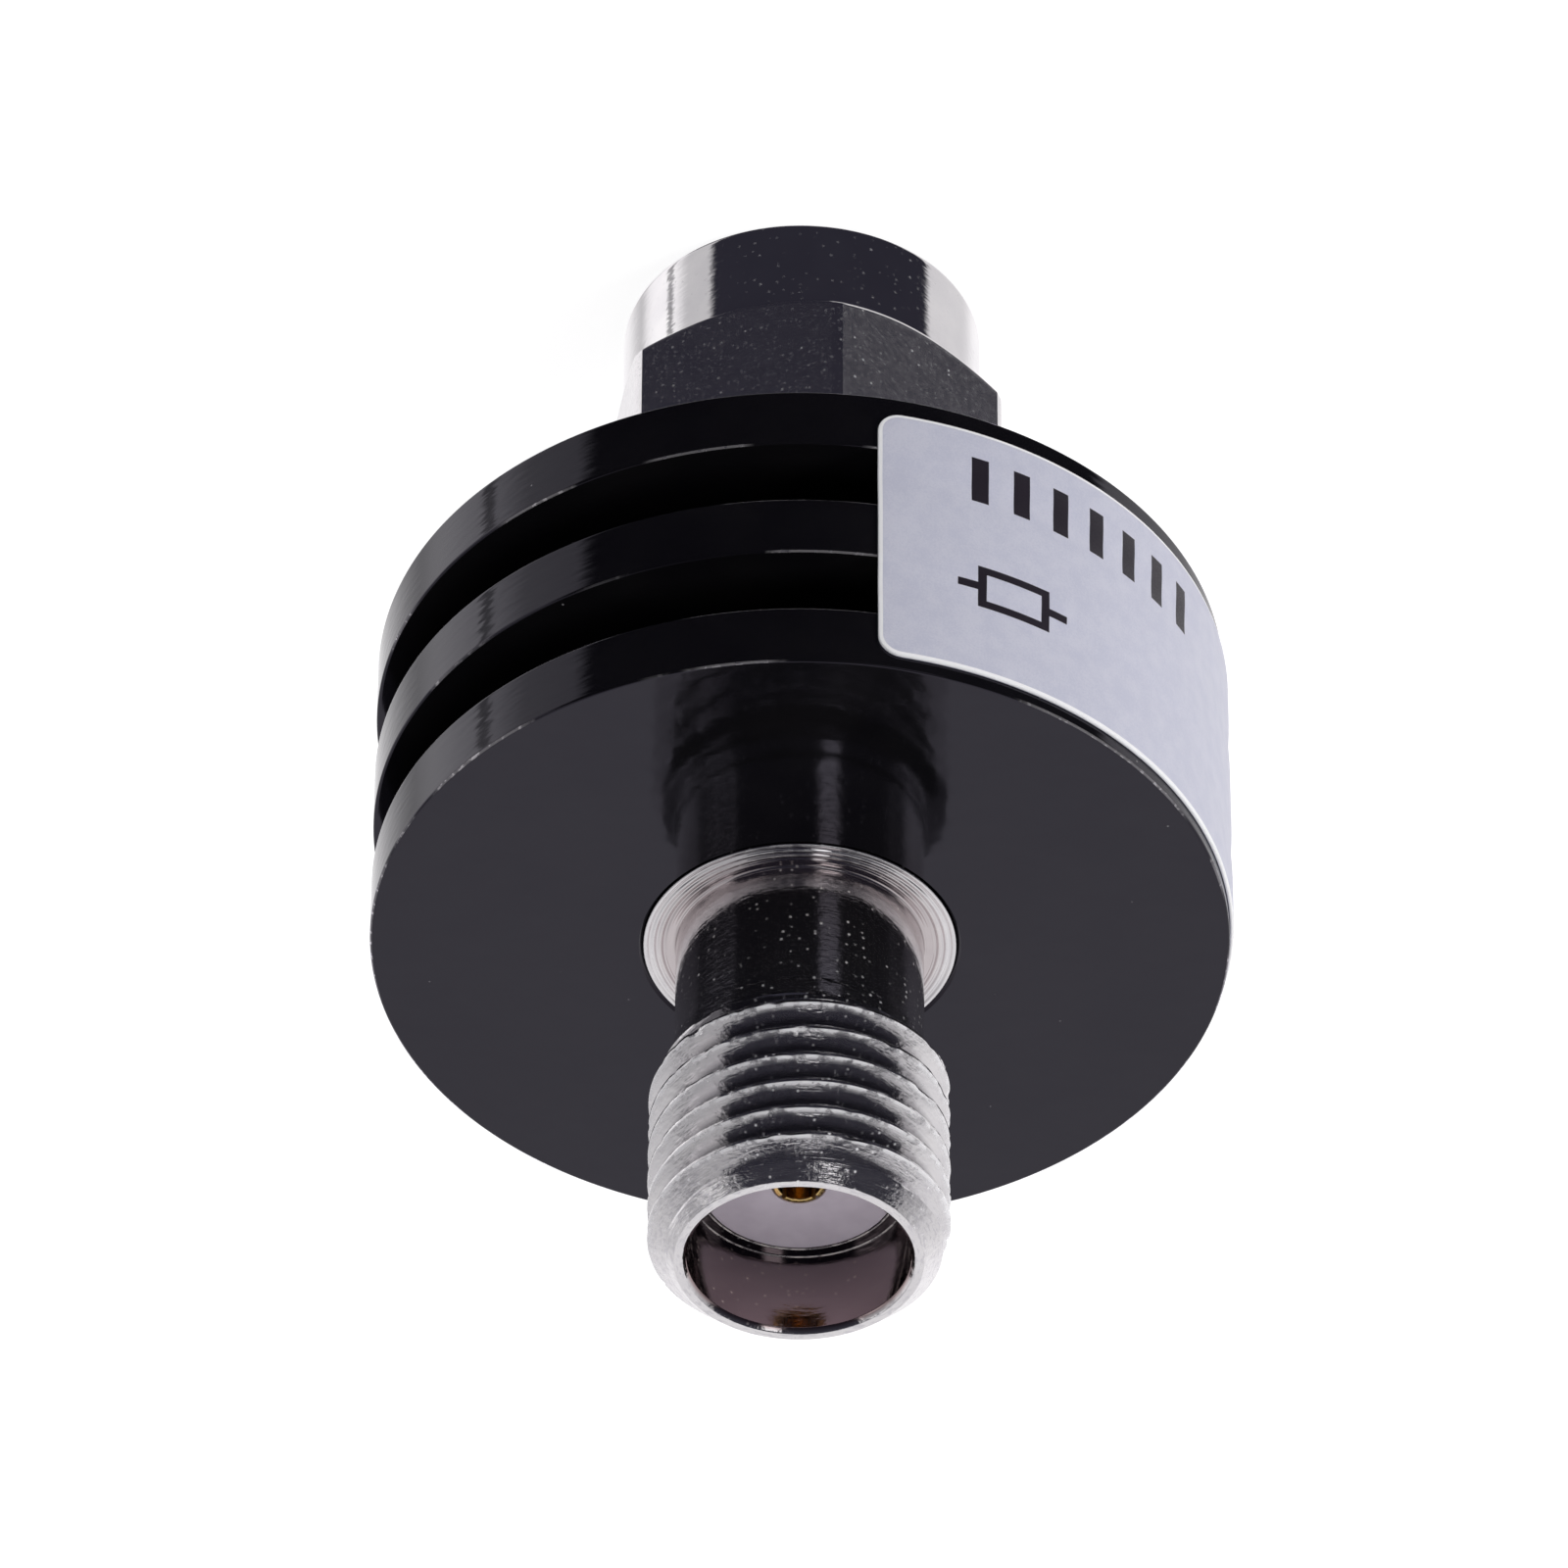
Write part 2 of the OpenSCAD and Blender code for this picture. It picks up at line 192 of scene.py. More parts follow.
class Shell:
    """Points and faces of one piece, gathered patch by patch and welded at the end."""

    def __init__(self, angles=EVEN_ANGLES):
        self.angles = angles
        self.points = []
        self.faces = []
        self.edge = []

    def add(self, r, z, angle, edge):
        self.points.append((r * math.cos(angle) * MM, r * math.sin(angle) * MM, z * MM))
        self.edge.append(edge)

    def turn(self, outline_at, closed=False):
        """A patch swept round the axis from outline_at(angle), a list of (radius, height, edge)."""
        first = len(self.points)
        rows = len(outline_at(0.0))
        columns = len(self.angles)
        for angle in self.angles:
            for r, z, edge in outline_at(angle):
                self.add(r, z, angle, edge)
        for j in range(columns):
            here = first + j * rows
            there = first + (j + 1) % columns * rows
            for i in range(rows if closed else rows - 1):
                k = (i + 1) % rows
                self.faces.append((here + i, there + i, there + k, here + k))

    def thread(self, tooth, crest_z, crest_angle, low, high, radius_at):
        """A thread between two heights, its rows along the helix.
        tooth holds (radius, height, edge) over one pitch; radius_at(radius, height, angle) trims it."""
        first = len(self.points)
        per_turn = len(tooth)
        columns = len(self.angles)
        turns = math.ceil((high - low) / THREAD_PITCH) + 3
        base = crest_z - THREAD_PITCH * crest_angle / (2 * math.pi)
        base -= THREAD_PITCH * math.ceil((base - low) / THREAD_PITCH + 1.5)
        rows = turns * per_turn
        heights = []
        for k in range(rows):
            r, s, edge = tooth[k % per_turn]
            level = base + s + THREAD_PITCH * (k // per_turn)
            for angle in self.angles:
                z = level + THREAD_PITCH * angle / (2 * math.pi)
                z = min(max(z, low), high)
                heights.append(z)
                self.add(radius_at(r, z, angle), z, angle, edge)
        for k in range(rows - 1):
            for j in range(columns):
                step = 0 if j + 1 < columns else per_turn
                if k + 1 + step >= rows:
                    continue
                corners = (k * columns + j, (k + step) * columns + (j + 1) % columns,
                           (k + 1 + step) * columns + (j + 1) % columns, (k + 1) * columns + j)
                levels = {heights[c] for c in corners}
                if levels == {low} or levels == {high}:
                    continue
                self.faces.append(tuple(first + c for c in corners))

    def piece(self, name):
        """The welded piece as an object, with its fillets in the attribute edge."""
        mesh = bpy.data.meshes.new(name)
        mesh.from_pydata(self.points, [], self.faces)
        mesh.attributes.new("edge", "FLOAT", "POINT").data.foreach_set("value", self.edge)
        work = bmesh.new()
        work.from_mesh(mesh)
        bmesh.ops.remove_doubles(work, verts=work.verts, dist=WELD)
        bmesh.ops.dissolve_degenerate(work, edges=work.edges, dist=WELD)
        loose = [v for v in work.verts if not v.link_faces]
        bmesh.ops.delete(work, geom=loose, context="VERTS")
        bmesh.ops.recalc_face_normals(work, faces=work.faces)
        work.to_mesh(mesh)
        work.free()
        return smooth_object(name, mesh)


def smooth_object(name, mesh):
    """An object for the mesh, smooth but for its sharp edges."""
    mesh.shade_smooth()
    mesh.set_sharp_from_angle(angle=SHARP_ANGLE)
    obj = bpy.data.objects.new(name, mesh)
    bpy.context.scene.collection.objects.link(obj)
    return obj


def turned(name, corners, closed=True):
    """A piece turned from one outline with fillets."""
    outline = rounded(corners, closed)
    shell = Shell()
    shell.turn(lambda angle: outline, closed)
    return shell.piece(name)


def cut(obj, boxes):
    """Cuts boxes, each (low corner, high corner, turn about the axis), out of a piece."""
    for low, high, turn in boxes:
        work = bmesh.new()
        bmesh.ops.create_cube(work, size=1.0)
        size = Vector(high) - Vector(low)
        middle = (Vector(high) + Vector(low)) / 2
        scale = Matrix.Diagonal((*(size * MM), 1.0))
        place = Matrix.Rotation(turn, 4, "Z") @ Matrix.Translation(middle * MM) @ scale
        bmesh.ops.transform(work, matrix=place, verts=work.verts)
        mesh = bpy.data.meshes.new("cutter")
        work.to_mesh(mesh)
        work.free()
        cutter = bpy.data.objects.new("cutter", mesh)
        bpy.context.scene.collection.objects.link(cutter)
        boolean = obj.modifiers.new("cut", "BOOLEAN")
        boolean.object = cutter
        boolean.operation = "DIFFERENCE"
        boolean.solver = "EXACT"
        bpy.context.view_layer.update()
        result = obj.evaluated_get(bpy.context.evaluated_depsgraph_get())
        obj.modifiers.remove(boolean)
        fresh = bpy.data.meshes.new_from_object(result)
        obj.data = fresh
        bpy.data.objects.remove(cutter)
    return obj


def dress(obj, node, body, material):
    """Puts a piece in the place of its solid."""
    obj.data.materials.clear()
    obj.data.materials.append(material)
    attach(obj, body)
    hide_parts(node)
    return obj


def mark(obj, name, value_at):
    """Marks each point of a piece with value_at(radius, height, edge, up); up is how far it faces upwards."""
    edges = [item.value for item in obj.data.attributes["edge"].data]
    spots = [(math.hypot(v.co.x, v.co.y) / MM, v.co.z / MM, v.normal.z) for v in obj.data.vertices]
    values = [value_at(r, z, edge, up) for (r, z, up), edge in zip(spots, edges)]
    obj.data.attributes.new(name, "FLOAT", "POINT").data.foreach_set("value", values)
    return obj


def eased(value, low, high):
    """0 up to low, 1 from high on, straight in between."""
    return min(max((value - low) / (high - low), 0.0), 1.0)


# Material helpers

def material(name, colour, roughness, metallic, ior):
    """A node material with its even values set on the shader, and its node tree and shader."""
    mat = bpy.data.materials.new(name)
    mat.use_nodes = True
    mat.diffuse_color = (*colour, 1.0)
    shader = mat.node_tree.nodes["Principled BSDF"]
    shader.inputs["Base Color"].default_value = (*colour, 1.0)
    shader.inputs["Roughness"].default_value = roughness
    shader.inputs["Metallic"].default_value = metallic
    shader.inputs["IOR"].default_value = ior
    return mat, mat.node_tree, shader


def add_node(tree, kind, inputs, **settings):
    """A node with its settings, and its inputs set or linked."""
    made = tree.nodes.new(kind)
    for key, value in settings.items():
        setattr(made, key, value)
    for key, value in inputs.items():
        if isinstance(value, bpy.types.NodeSocket):
            tree.links.new(value, made.inputs[key])
        else:
            made.inputs[key].default_value = value
    return made


def calc(tree, operation, a, b=0.0):
    """Output of a Math node."""
    return add_node(tree, "ShaderNodeMath", {0: a, 1: b}, operation=operation).outputs[0]


def product(tree, *values):
    """Output of Math nodes that multiply all the values."""
    result = values[0]
    for value in values[1:]:
        result = calc(tree, "MULTIPLY", result, value)
    return result


def total(tree, *values):
    """Output of Math nodes that add all the values."""
    result = values[0]
    for value in values[1:]:
        result = calc(tree, "ADD", result, value)
    return result


def rest(tree, value):
    """What a value lacks to 1."""
    return calc(tree, "SUBTRACT", 1.0, value)


def ranged(tree, value, low, high, to_low=0.0, to_high=1.0):
    """A value eased from one range to another."""
    inputs = {"Value": value, "From Min": low, "From Max": high, "To Min": to_low, "To Max": to_high}
    return add_node(tree, "ShaderNodeMapRange", inputs, interpolation_type="SMOOTHSTEP").outputs["Result"]


def blended(tree, factor, a, b):
    """Colour between a and b."""
    return add_node(tree, "ShaderNodeMix", {0: factor, 6: a, 7: b}, data_type="RGBA").outputs[2]


def toned(tree, shader, factor, dark, light):
    """Gives the shader a colour between dark and light."""
    tone = blended(tree, factor, (*dark, 1), (*light, 1))
    tree.links.new(tone, shader.inputs["Base Color"])


def roughened(tree, shader, factor, smooth, rough):
    """Gives the shader a roughness between smooth and rough, with the middle of the factor's range."""
    tree.links.new(ranged(tree, factor, 0.3, 0.7, smooth, rough), shader.inputs["Roughness"])


def place(tree, stretch=(1.0, 1.0, 1.0)):
    """Place on the piece in millimetres, stretched along each axis."""
    coords = add_node(tree, "ShaderNodeTexCoord", {}).outputs["Object"]
    factors = tuple(s / MM for s in stretch)
    return add_node(tree, "ShaderNodeVectorMath", {0: coords, 1: factors}, operation="MULTIPLY").outputs[0]


def lathe_place(tree, stretch):
    """Radius and height on the piece in millimetres, for patterns that run round the axis as tool marks do."""
    split = add_node(tree, "ShaderNodeSeparateXYZ", {0: place(tree)})
    across = calc(tree, "POWER", split.outputs[0], 2.0)
    along = calc(tree, "POWER", split.outputs[1], 2.0)
    radius = calc(tree, "SQRT", calc(tree, "ADD", across, along))
    joined = add_node(tree, "ShaderNodeCombineXYZ", {0: radius, 2: split.outputs[2]}).outputs[0]
    inputs = {0: joined, 1: (stretch,) * 3}
    return add_node(tree, "ShaderNodeVectorMath", inputs, operation="MULTIPLY").outputs[0]


def swirl_place(tree, along, across):
    """Place on the piece in millimetres, drawn out round the axis, with so many features along and across."""
    split = add_node(tree, "ShaderNodeSeparateXYZ", {0: lathe_place(tree, across)})
    slope = calc(tree, "SUBTRACT", split.outputs[0], split.outputs[2])
    flat = add_node(tree, "ShaderNodeSeparateXYZ", {0: place(tree, (along, along, 0.0))})
    inputs = {0: flat.outputs[0], 1: flat.outputs[1], 2: slope}
    return add_node(tree, "ShaderNodeCombineXYZ", inputs).outputs[0]


def grain(tree, vector, scale, detail=2.0):
    """A noise value with that many features per millimetre."""
    inputs = {"Vector": vector, "Scale": scale, "Detail": detail}
    return add_node(tree, "ShaderNodeTexNoise", inputs).outputs["Fac"]


def specks(tree, vector, spacing, size, share):
    """Round spots of uneven strength: cells of that spacing, a share of which hold a spot of that size."""
    cells = add_node(tree, "ShaderNodeTexVoronoi", {"Vector": vector, "Scale": 1 / spacing})
    drawn = add_node(tree, "ShaderNodeSeparateColor", {0: cells.outputs["Color"]})
    chosen = calc(tree, "MULTIPLY", calc(tree, "LESS_THAN", drawn.outputs[0], share), drawn.outputs[1])
    spot = ranged(tree, cells.outputs["Distance"], size / spacing, 0.0)
    return calc(tree, "MULTIPLY", chosen, spot)


def bumped(tree, shader, height, depth, normal=None):
    """A bump of that depth in millimetres on the shader's normal."""
    inputs = {"Height": height, "Strength": 1.0, "Distance": depth * MM}
    if normal is not None:
        inputs["Normal"] = normal
    bump = add_node(tree, "ShaderNodeBump", inputs).outputs[0]
    tree.links.new(bump, shader.inputs["Normal"])
    return bump


def marked(tree, name):
    """An attribute of the mesh, 0 on a piece that lacks it."""
    return add_node(tree, "ShaderNodeAttribute", {}, attribute_name=name).outputs["Fac"]


# Materials

def black_anodised():
    """Glossy black anodising with fine tool marks, worn to bare metal in places along the edges."""
    black = (0.0045, 0.0043, 0.005)
    mat, tree, shader = material("black_anodised", black, 0.12, 0.0, 1.45)
    shader.inputs["Specular Tint"].default_value = (0.8, 0.75, 1.0, 1.0)
    spot = place(tree)
    stretch = ranged(tree, grain(tree, spot, 0.42, 1.0), 0.46, 0.58)
    chip = ranged(tree, grain(tree, spot, 6.5, 2.0), 0.5, 0.62)
    chipped = calc(tree, "MAXIMUM", product(tree, stretch, chip), product(tree, stretch, 0.3))
    bare = product(tree, ranged(tree, marked(tree, "edge"), 0.25, 0.7), chipped)
    cover = calc(tree, "MAXIMUM", bare, specks(tree, spot, 0.7, 0.035, 0.2))
    wide = ranged(tree, grain(tree, spot, 0.5), 0.3, 0.7)
    tone = blended(tree, wide, (0.0038, 0.0036, 0.0045, 1), (0.0055, 0.0052, 0.006, 1))
    tree.links.new(blended(tree, cover, tone, (0.62, 0.6, 0.62, 1)), shader.inputs["Base Color"])
    tree.links.new(bare, shader.inputs["Metallic"])
    gloss = ranged(tree, grain(tree, spot, 3.0), 0.3, 0.7, 0.06, 0.09)
    tree.links.new(total(tree, gloss, product(tree, cover, 0.25)), shader.inputs["Roughness"])
    marks = grain(tree, lathe_place(tree, 1.0), 14.0, 3.0)
    ripple = grain(tree, place(tree, (1.0, 1.0, 4.0)), 1.6, 1.0)
    bump = bumped(tree, shader, marks, 0.0004)
    bumped(tree, shader, ripple, 0.004, bump)
    return mat


def nickel():
    """Bright nickel plate over turned brass, with specks, the wear and tarnish, and painted highlights and
    painted shade marked on the piece.
    """
    mat, tree, shader = material("nickel", (0.8, 0.785, 0.79), 0.07, 1.0, 1.5)
    spot = place(tree)
    satin = marked(tree, "satin")
    coarse = marked(tree, "coarse")
    streaks = grain(tree, swirl_place(tree, 4.0, 13.0), 1.0, 4.0)
    chalk_and_highlight = nickel_chalk_and_highlight(tree, spot, satin, coarse)
    tree.links.new(nickel_tone(tree, spot, coarse, streaks, chalk_and_highlight), shader.inputs["Base Color"])
    matt = calc(tree, "MAXIMUM", product(tree, chalk_and_highlight, 0.85), product(tree, coarse, 0.02))
    tree.links.new(rest(tree, matt), shader.inputs["Metallic"])
    smooth = ranged(tree, grain(tree, spot, 6.0), 0.35, 0.75, 0.05, 0.09)
    dirty = total(tree, coarse, marked(tree, "tarnish"))
    rough = total(tree, smooth, product(tree, satin, 0.14), product(tree, dirty, 0.05),
                  product(tree, chalk_and_highlight, 0.3), product(tree, marked(tree, "edge"), 0.1))
    tree.links.new(rough, shader.inputs["Roughness"])
    nickel_bumps(tree, shader, spot, satin, coarse, streaks)
    return mat


def nickel_chalk_and_highlight(tree, spot, satin, coarse):
    """Where the plate is dull and white: specks, fine dust on satin faces, and worn places in beads, which also
    serve as painted highlights on the thread crests, the mouth's ledge and the face's ridges.
    """
    dots = product(tree, specks(tree, spot, 0.17, 0.055, 0.5), total(tree, coarse, 0.45))
    dust = product(tree, specks(tree, spot, 0.09, 0.05, 0.6), satin, 0.16)
    beads = ranged(tree, grain(tree, spot, 3.6, 3.0), 0.4, 0.56, 0.3, 1.0)
    # Worn places, which also carry the painted highlights marked on the jack.
    wear_and_highlight = product(tree, marked(tree, "wear_and_highlight"), beads)
    return calc(tree, "MAXIMUM", wear_and_highlight, calc(tree, "MAXIMUM", dots, dust))


def nickel_tone(tree, spot, coarse, streaks, chalk_and_highlight):
    """Colour of the plate: clouded nickel, dulled, tarnished, darkened by painted shade, and chalky or lit by
    painted highlights in turn.
    """
    tarnish = marked(tree, "tarnish")
    cloud = ranged(tree, grain(tree, spot, 1.1, 3.0), 0.3, 0.7)
    tone = blended(tree, cloud, (0.77, 0.755, 0.77, 1), (0.83, 0.815, 0.82, 1))
    dull = product(tree, ranged(tree, coarse, 0.6, 1.0), ranged(tree, streaks, 0.5, 0.62))
    tone = blended(tree, dull, tone, (0.7, 0.685, 0.71, 1))
    tone = blended(tree, tarnish, tone, (0.37, 0.28, 0.28, 1))
    # Painted shade in the thread roots and under the first turn of the thread.
    tone = blended(tree, marked(tree, "painted_shade"), tone, (0.1, 0.095, 0.11, 1))
    # Chalk colour, golden where tarnished; on the mouth's ledge it makes golden painted highlights.
    bright = blended(tree, tarnish, (0.92, 0.91, 0.93, 1), (0.85, 0.7, 0.58, 1))
    return blended(tree, chalk_and_highlight, tone, bright)


def nickel_bumps(tree, shader, spot, satin, coarse, streaks):
    """Tool marks and chatter off the satin faces, and a crust where the plate is coarse."""
    plain = rest(tree, satin)
    marks = product(tree, grain(tree, lathe_place(tree, 1.0), 22.0, 2.0), plain)
    chatter = product(tree, grain(tree, place(tree, (1.0, 1.0, 3.0)), 3.2, 2.0), plain)
    crust = product(tree, total(tree, streaks, grain(tree, spot, 6.0, 3.0)), coarse)
    bump = bumped(tree, shader, marks, 0.0006)
    bump = bumped(tree, shader, chatter, 0.003, bump)
    bumped(tree, shader, crust, 0.011, bump)


def gold():
    """Gold plate with faint tool marks."""
    mat, tree, shader = material("gold", (0.93, 0.66, 0.27), 0.2, 1.0, 1.5)
    spot = place(tree)
    toned(tree, shader, grain(tree, spot, 5.0), (0.88, 0.58, 0.2), (0.97, 0.73, 0.34))
    roughened(tree, shader, grain(tree, spot, 12.0), 0.14, 0.26)
    bumped(tree, shader, grain(tree, lathe_place(tree, 1.0), 30.0), 0.0008)
    return mat


def ptfe():
    """White fluoropolymer, waxy, with faint turning rings and a few dark specks."""
    mat, tree, shader = material("ptfe", (0.66, 0.59, 0.67), 0.42, 0.0, 1.36)
    shader.inputs["Subsurface Weight"].default_value = 0.15
    shader.inputs["Subsurface Radius"].default_value = (0.0004, 0.0004, 0.0004)
    spot = place(tree)
    cloud = ranged(tree, grain(tree, spot, 2.0), 0.3, 0.7)
    tone = blended(tree, cloud, (0.63, 0.56, 0.64, 1), (0.69, 0.62, 0.7, 1))
    dots = specks(tree, spot, 0.5, 0.035, 0.12)
    tree.links.new(blended(tree, dots, tone, (0.16, 0.14, 0.15, 1)), shader.inputs["Base Color"])
    roughened(tree, shader, grain(tree, spot, 8.0), 0.36, 0.5)
    bumped(tree, shader, grain(tree, lathe_place(tree, 1.0), 12.0), 0.002)
    return mat


def silver_film():
    """Matt silver label film, white along its cut edge, with dark printed shapes."""
    mat, tree, shader = material("silver_film", (0.62, 0.63, 0.74), 0.42, 0.0, 1.5)
    spot = place(tree)
    glitter = grain(tree, spot, 22.0, 2.0)
    mixed = total(tree, product(tree, glitter, 0.5), product(tree, grain(tree, spot, 2.2, 3.0), 0.5))
    mottle = ranged(tree, mixed, 0.35, 0.65)
    film = blended(tree, mottle, (0.575, 0.585, 0.7, 1), (0.645, 0.65, 0.75, 1))
    rim = ranged(tree, marked(tree, "edge"), 0.2, 0.7)
    film = blended(tree, rim, film, (0.97, 0.97, 0.98, 1))
    ink = printed_shapes(tree)
    tree.links.new(blended(tree, ink, film, (0.022, 0.017, 0.026, 1)), shader.inputs["Base Color"])
    roughened(tree, shader, glitter, 0.36, 0.48)
    bumped(tree, shader, glitter, 0.0015)
    return mat


def printed_shapes(tree):
    """Where the label is inked: a row of bars, and a box with a line on each side of it; millimetres."""
    bars_from, bars_to, bars_z, bars_h, bar_pitch, bar_share = 0.9, 7.75, -2.0, 1.2, 0.98, 0.4
    box_x, box_z, box_w, box_h, stroke, lead = 6.2, 0.95, 1.5, 0.9, 0.2, 0.55
    flat = add_node(tree, "ShaderNodeUVMap", {}, uv_map="flat").outputs[0]
    split = add_node(tree, "ShaderNodeSeparateXYZ", {0: flat})
    across, up = split.outputs[0], split.outputs[1]

    def away(value, middle):
        return calc(tree, "ABSOLUTE", calc(tree, "SUBTRACT", value, middle))

    def under(value, limit):
        return calc(tree, "LESS_THAN", value, limit)

    inside = under(away(up, bars_z), bars_h / 2)
    span = under(away(across, (bars_from + bars_to) / 2), (bars_to - bars_from) / 2)
    phase = calc(tree, "FRACT", calc(tree, "DIVIDE", calc(tree, "SUBTRACT", across, bars_from), bar_pitch))
    bars = product(tree, inside, span, under(phase, bar_share))
    from_z = away(up, box_z)
    off_x = calc(tree, "SUBTRACT", away(across, box_x), box_w / 2)
    off_z = calc(tree, "SUBTRACT", from_z, box_h / 2)
    outline = under(away(calc(tree, "MAXIMUM", off_x, off_z), 0.0), stroke / 2)
    line = product(tree, under(away(off_x, lead / 2), lead / 2), under(from_z, stroke / 2))
    return calc(tree, "MAXIMUM", bars, calc(tree, "MAXIMUM", outline, line))


def silicone():
    """Brick-red silicone rubber."""
    mat, tree, shader = material("silicone", (0.33, 0.08, 0.045), 0.55, 0.0, 1.41)
    spot = place(tree)
    toned(tree, shader, grain(tree, spot, 3.0), (0.27, 0.06, 0.035), (0.39, 0.1, 0.06))
    bumped(tree, shader, grain(tree, spot, 18.0), 0.004)
    return mat


def alumina():
    """Fired white ceramic."""
    mat, tree, shader = material("alumina", (0.82, 0.79, 0.72), 0.6, 0.0, 1.76)
    spot = place(tree)
    toned(tree, shader, grain(tree, spot, 6.0, 3.0), (0.76, 0.73, 0.66), (0.87, 0.84, 0.78))
    bumped(tree, shader, grain(tree, spot, 30.0), 0.002)
    return mat


def plain_brass():
    """Machined brass with tool marks."""
    mat, tree, shader = material("plain_brass", (0.78, 0.6, 0.3), 0.3, 1.0, 1.5)
    cloud = grain(tree, place(tree), 2.0, 3.0)
    toned(tree, shader, cloud, (0.7, 0.52, 0.24), (0.84, 0.66, 0.35))
    roughened(tree, shader, cloud, 0.24, 0.4)
    bumped(tree, shader, grain(tree, lathe_place(tree, 1.0), 20.0), 0.001)
    return mat


def spring_bronze():
    """Stamped and tumbled bronze strip."""
    mat, tree, shader = material("spring_bronze", (0.62, 0.5, 0.36), 0.32, 1.0, 1.5)
    spot = place(tree)
    cloud = grain(tree, spot, 4.0, 3.0)
    toned(tree, shader, cloud, (0.54, 0.42, 0.3), (0.68, 0.56, 0.42))
    roughened(tree, shader, cloud, 0.25, 0.42)
    bumped(tree, shader, grain(tree, spot, 16.0), 0.002)
    return mat


# Pieces

def heat_sink():
    """Three fins on a core, their edges just broken."""
    edge = 0.05
    root = 0.12
    bore_edge = 0.07
    corners = [(SINK_BORE_R + SINK_EDGE, SINK_Z, 0.0)]
    for i in range(3):
        low = SINK_Z + i * (FIN_T + GROOVE_W)
        if i > 0:
            corners.append((GROOVE_FLOOR_R, low, root))
        corners.append((SINK_R, low, edge))
        corners.append((SINK_R, low + FIN_T, edge))
        if i < 2:
            corners.append((GROOVE_FLOOR_R, low + FIN_T, root))
    corners.append((SINK_BORE_R + bore_edge, FACE_Z, 0.0))
    corners.append((SINK_BORE_R, FACE_Z - bore_edge, 0.0))
    corners.append((SINK_BORE_R, SINK_Z + SINK_EDGE, 0.0))
    return turned("heat_sink_turned", corners)


def tooth_outline(foot_r, crest_r, flat, root_fillet, crest_fillet, step):
    """One thread tooth over a pitch, foot to foot, with extra points on its flanks."""
    half = flat / 2 + abs(crest_r - foot_r) * FLANK_SLOPE
    corners = [(foot_r, -THREAD_PITCH / 2, 0.0), (foot_r, -half, root_fillet),
               (crest_r, -flat / 2, crest_fillet), (crest_r, flat / 2, crest_fillet),
               (foot_r, half, root_fillet), (foot_r, THREAD_PITCH / 2, 0.0)]
    points = rounded(corners, False, TOOTH_STEPS, 0.0)
    dense = []
    for (r0, z0, e0), (r1, z1, e1) in zip(points, points[1:]):
        count = max(1, math.ceil(math.hypot(r1 - r0, z1 - z0) / step))
        for k in range(count):
            t = k / count
            dense.append((r0 + (r1 - r0) * t, z0 + (z1 - z0) * t, e0 + (e1 - e0) * t))
    return dense


def jack_radius(r, z, angle):
    """The jack's thread, trimmed by a cone at each end and nicked a little along its crests."""
    nick_depth, nick_from, nicks_round, nicks_along = 0.08, 0.1, 9.0, 3.0
    neck_end_z = FACE_Z + NECK_LEN
    run_in_z = THREAD_CREST_Z - 0.85 * THREAD_PITCH
    run_in = max(NECK_R, min(THREAD_ROOT_R, NECK_R + z - neck_end_z)) + max(0.0, z - run_in_z)
    trimmed = min(r, run_in, RIM_R + JACK_END_Z - z)
    if trimmed < r or r < THREAD_R - 0.06:
        return trimmed
    spot = Vector((math.cos(angle) * nicks_round, math.sin(angle) * nicks_round, z * nicks_along))
    nick = max(0.0, noise.noise(spot) - nick_from)
    return r - nick_depth * nick


def ring_face():
    """The flange face round the neck, with the ridges that the facing tool left."""
    ridge, depth, outer, inner, smooth, steps = 0.15, 0.036, 3.22, 2.71, 2.82, 40
    points = []
    for k in range(steps + 1):
        r = outer + (inner - outer) * k / steps
        wave = (0.5 - 0.5 * math.cos(2 * math.pi * (outer - r) / ridge)) * eased(r, smooth - 0.1, smooth)
        points.append((r, FACE_Z - depth * wave, 0.0))
    return points


def jack_shell():
    """Flange, neck, thread and mouth of the jack."""
    run_in, run_out, foot_w, edge_w, step_w = 0.25, 0.09, 0.1, 0.05, 0.2
    low = FACE_Z + NECK_LEN - run_in
    high = JACK_END_Z - run_out
    step_r = LINE_R + step_w
    foot = rounded([(NECK_R + foot_w, FACE_Z, 0.0), (NECK_R, FACE_Z, 0.07), (NECK_R, low, 0.0)], False)
    body = rounded([(step_r, SPIGOT_Z, 0.0), (SPIGOT_R, SPIGOT_Z, 0.03), (SPIGOT_R, TUBE_END_Z, 0.0),
                    (BODY_R, TUBE_END_Z, 0.03), (BODY_R, FACE_Z, 0.035), (BODY_R - edge_w, FACE_Z, 0.0)], False)
    outer = body + ring_face() + foot
    rim_start = RIM_R + JACK_END_Z - high
    inner = rounded([(rim_start, high, 0.0), (RIM_R, JACK_END_Z, 0.04),
                     (MOUTH_R + MOUTH_EDGE, JACK_END_Z, 0.03),
                     (MOUTH_R, JACK_END_Z - MOUTH_EDGE, 0.03), (MOUTH_R, JACK_REF_Z, 0.03),
                     (LINE_R, JACK_REF_Z, 0.03), (LINE_R, SPIGOT_Z + STEP_H, 0.0),
                     (step_r, SPIGOT_Z + STEP_H, 0.0), (step_r, SPIGOT_Z, 0.0)], False)
    tooth = tooth_outline(THREAD_ROOT_R, THREAD_R, THREAD_FLAT, 0.05, 0.04, 0.08)
    shell = Shell()
    shell.turn(lambda angle: outer)
    shell.thread(tooth, THREAD_CREST_Z, math.radians(270), low, high, jack_radius)
    shell.turn(lambda angle: inner)
    return mark_jack(shell.piece("jack_shell_turned"))


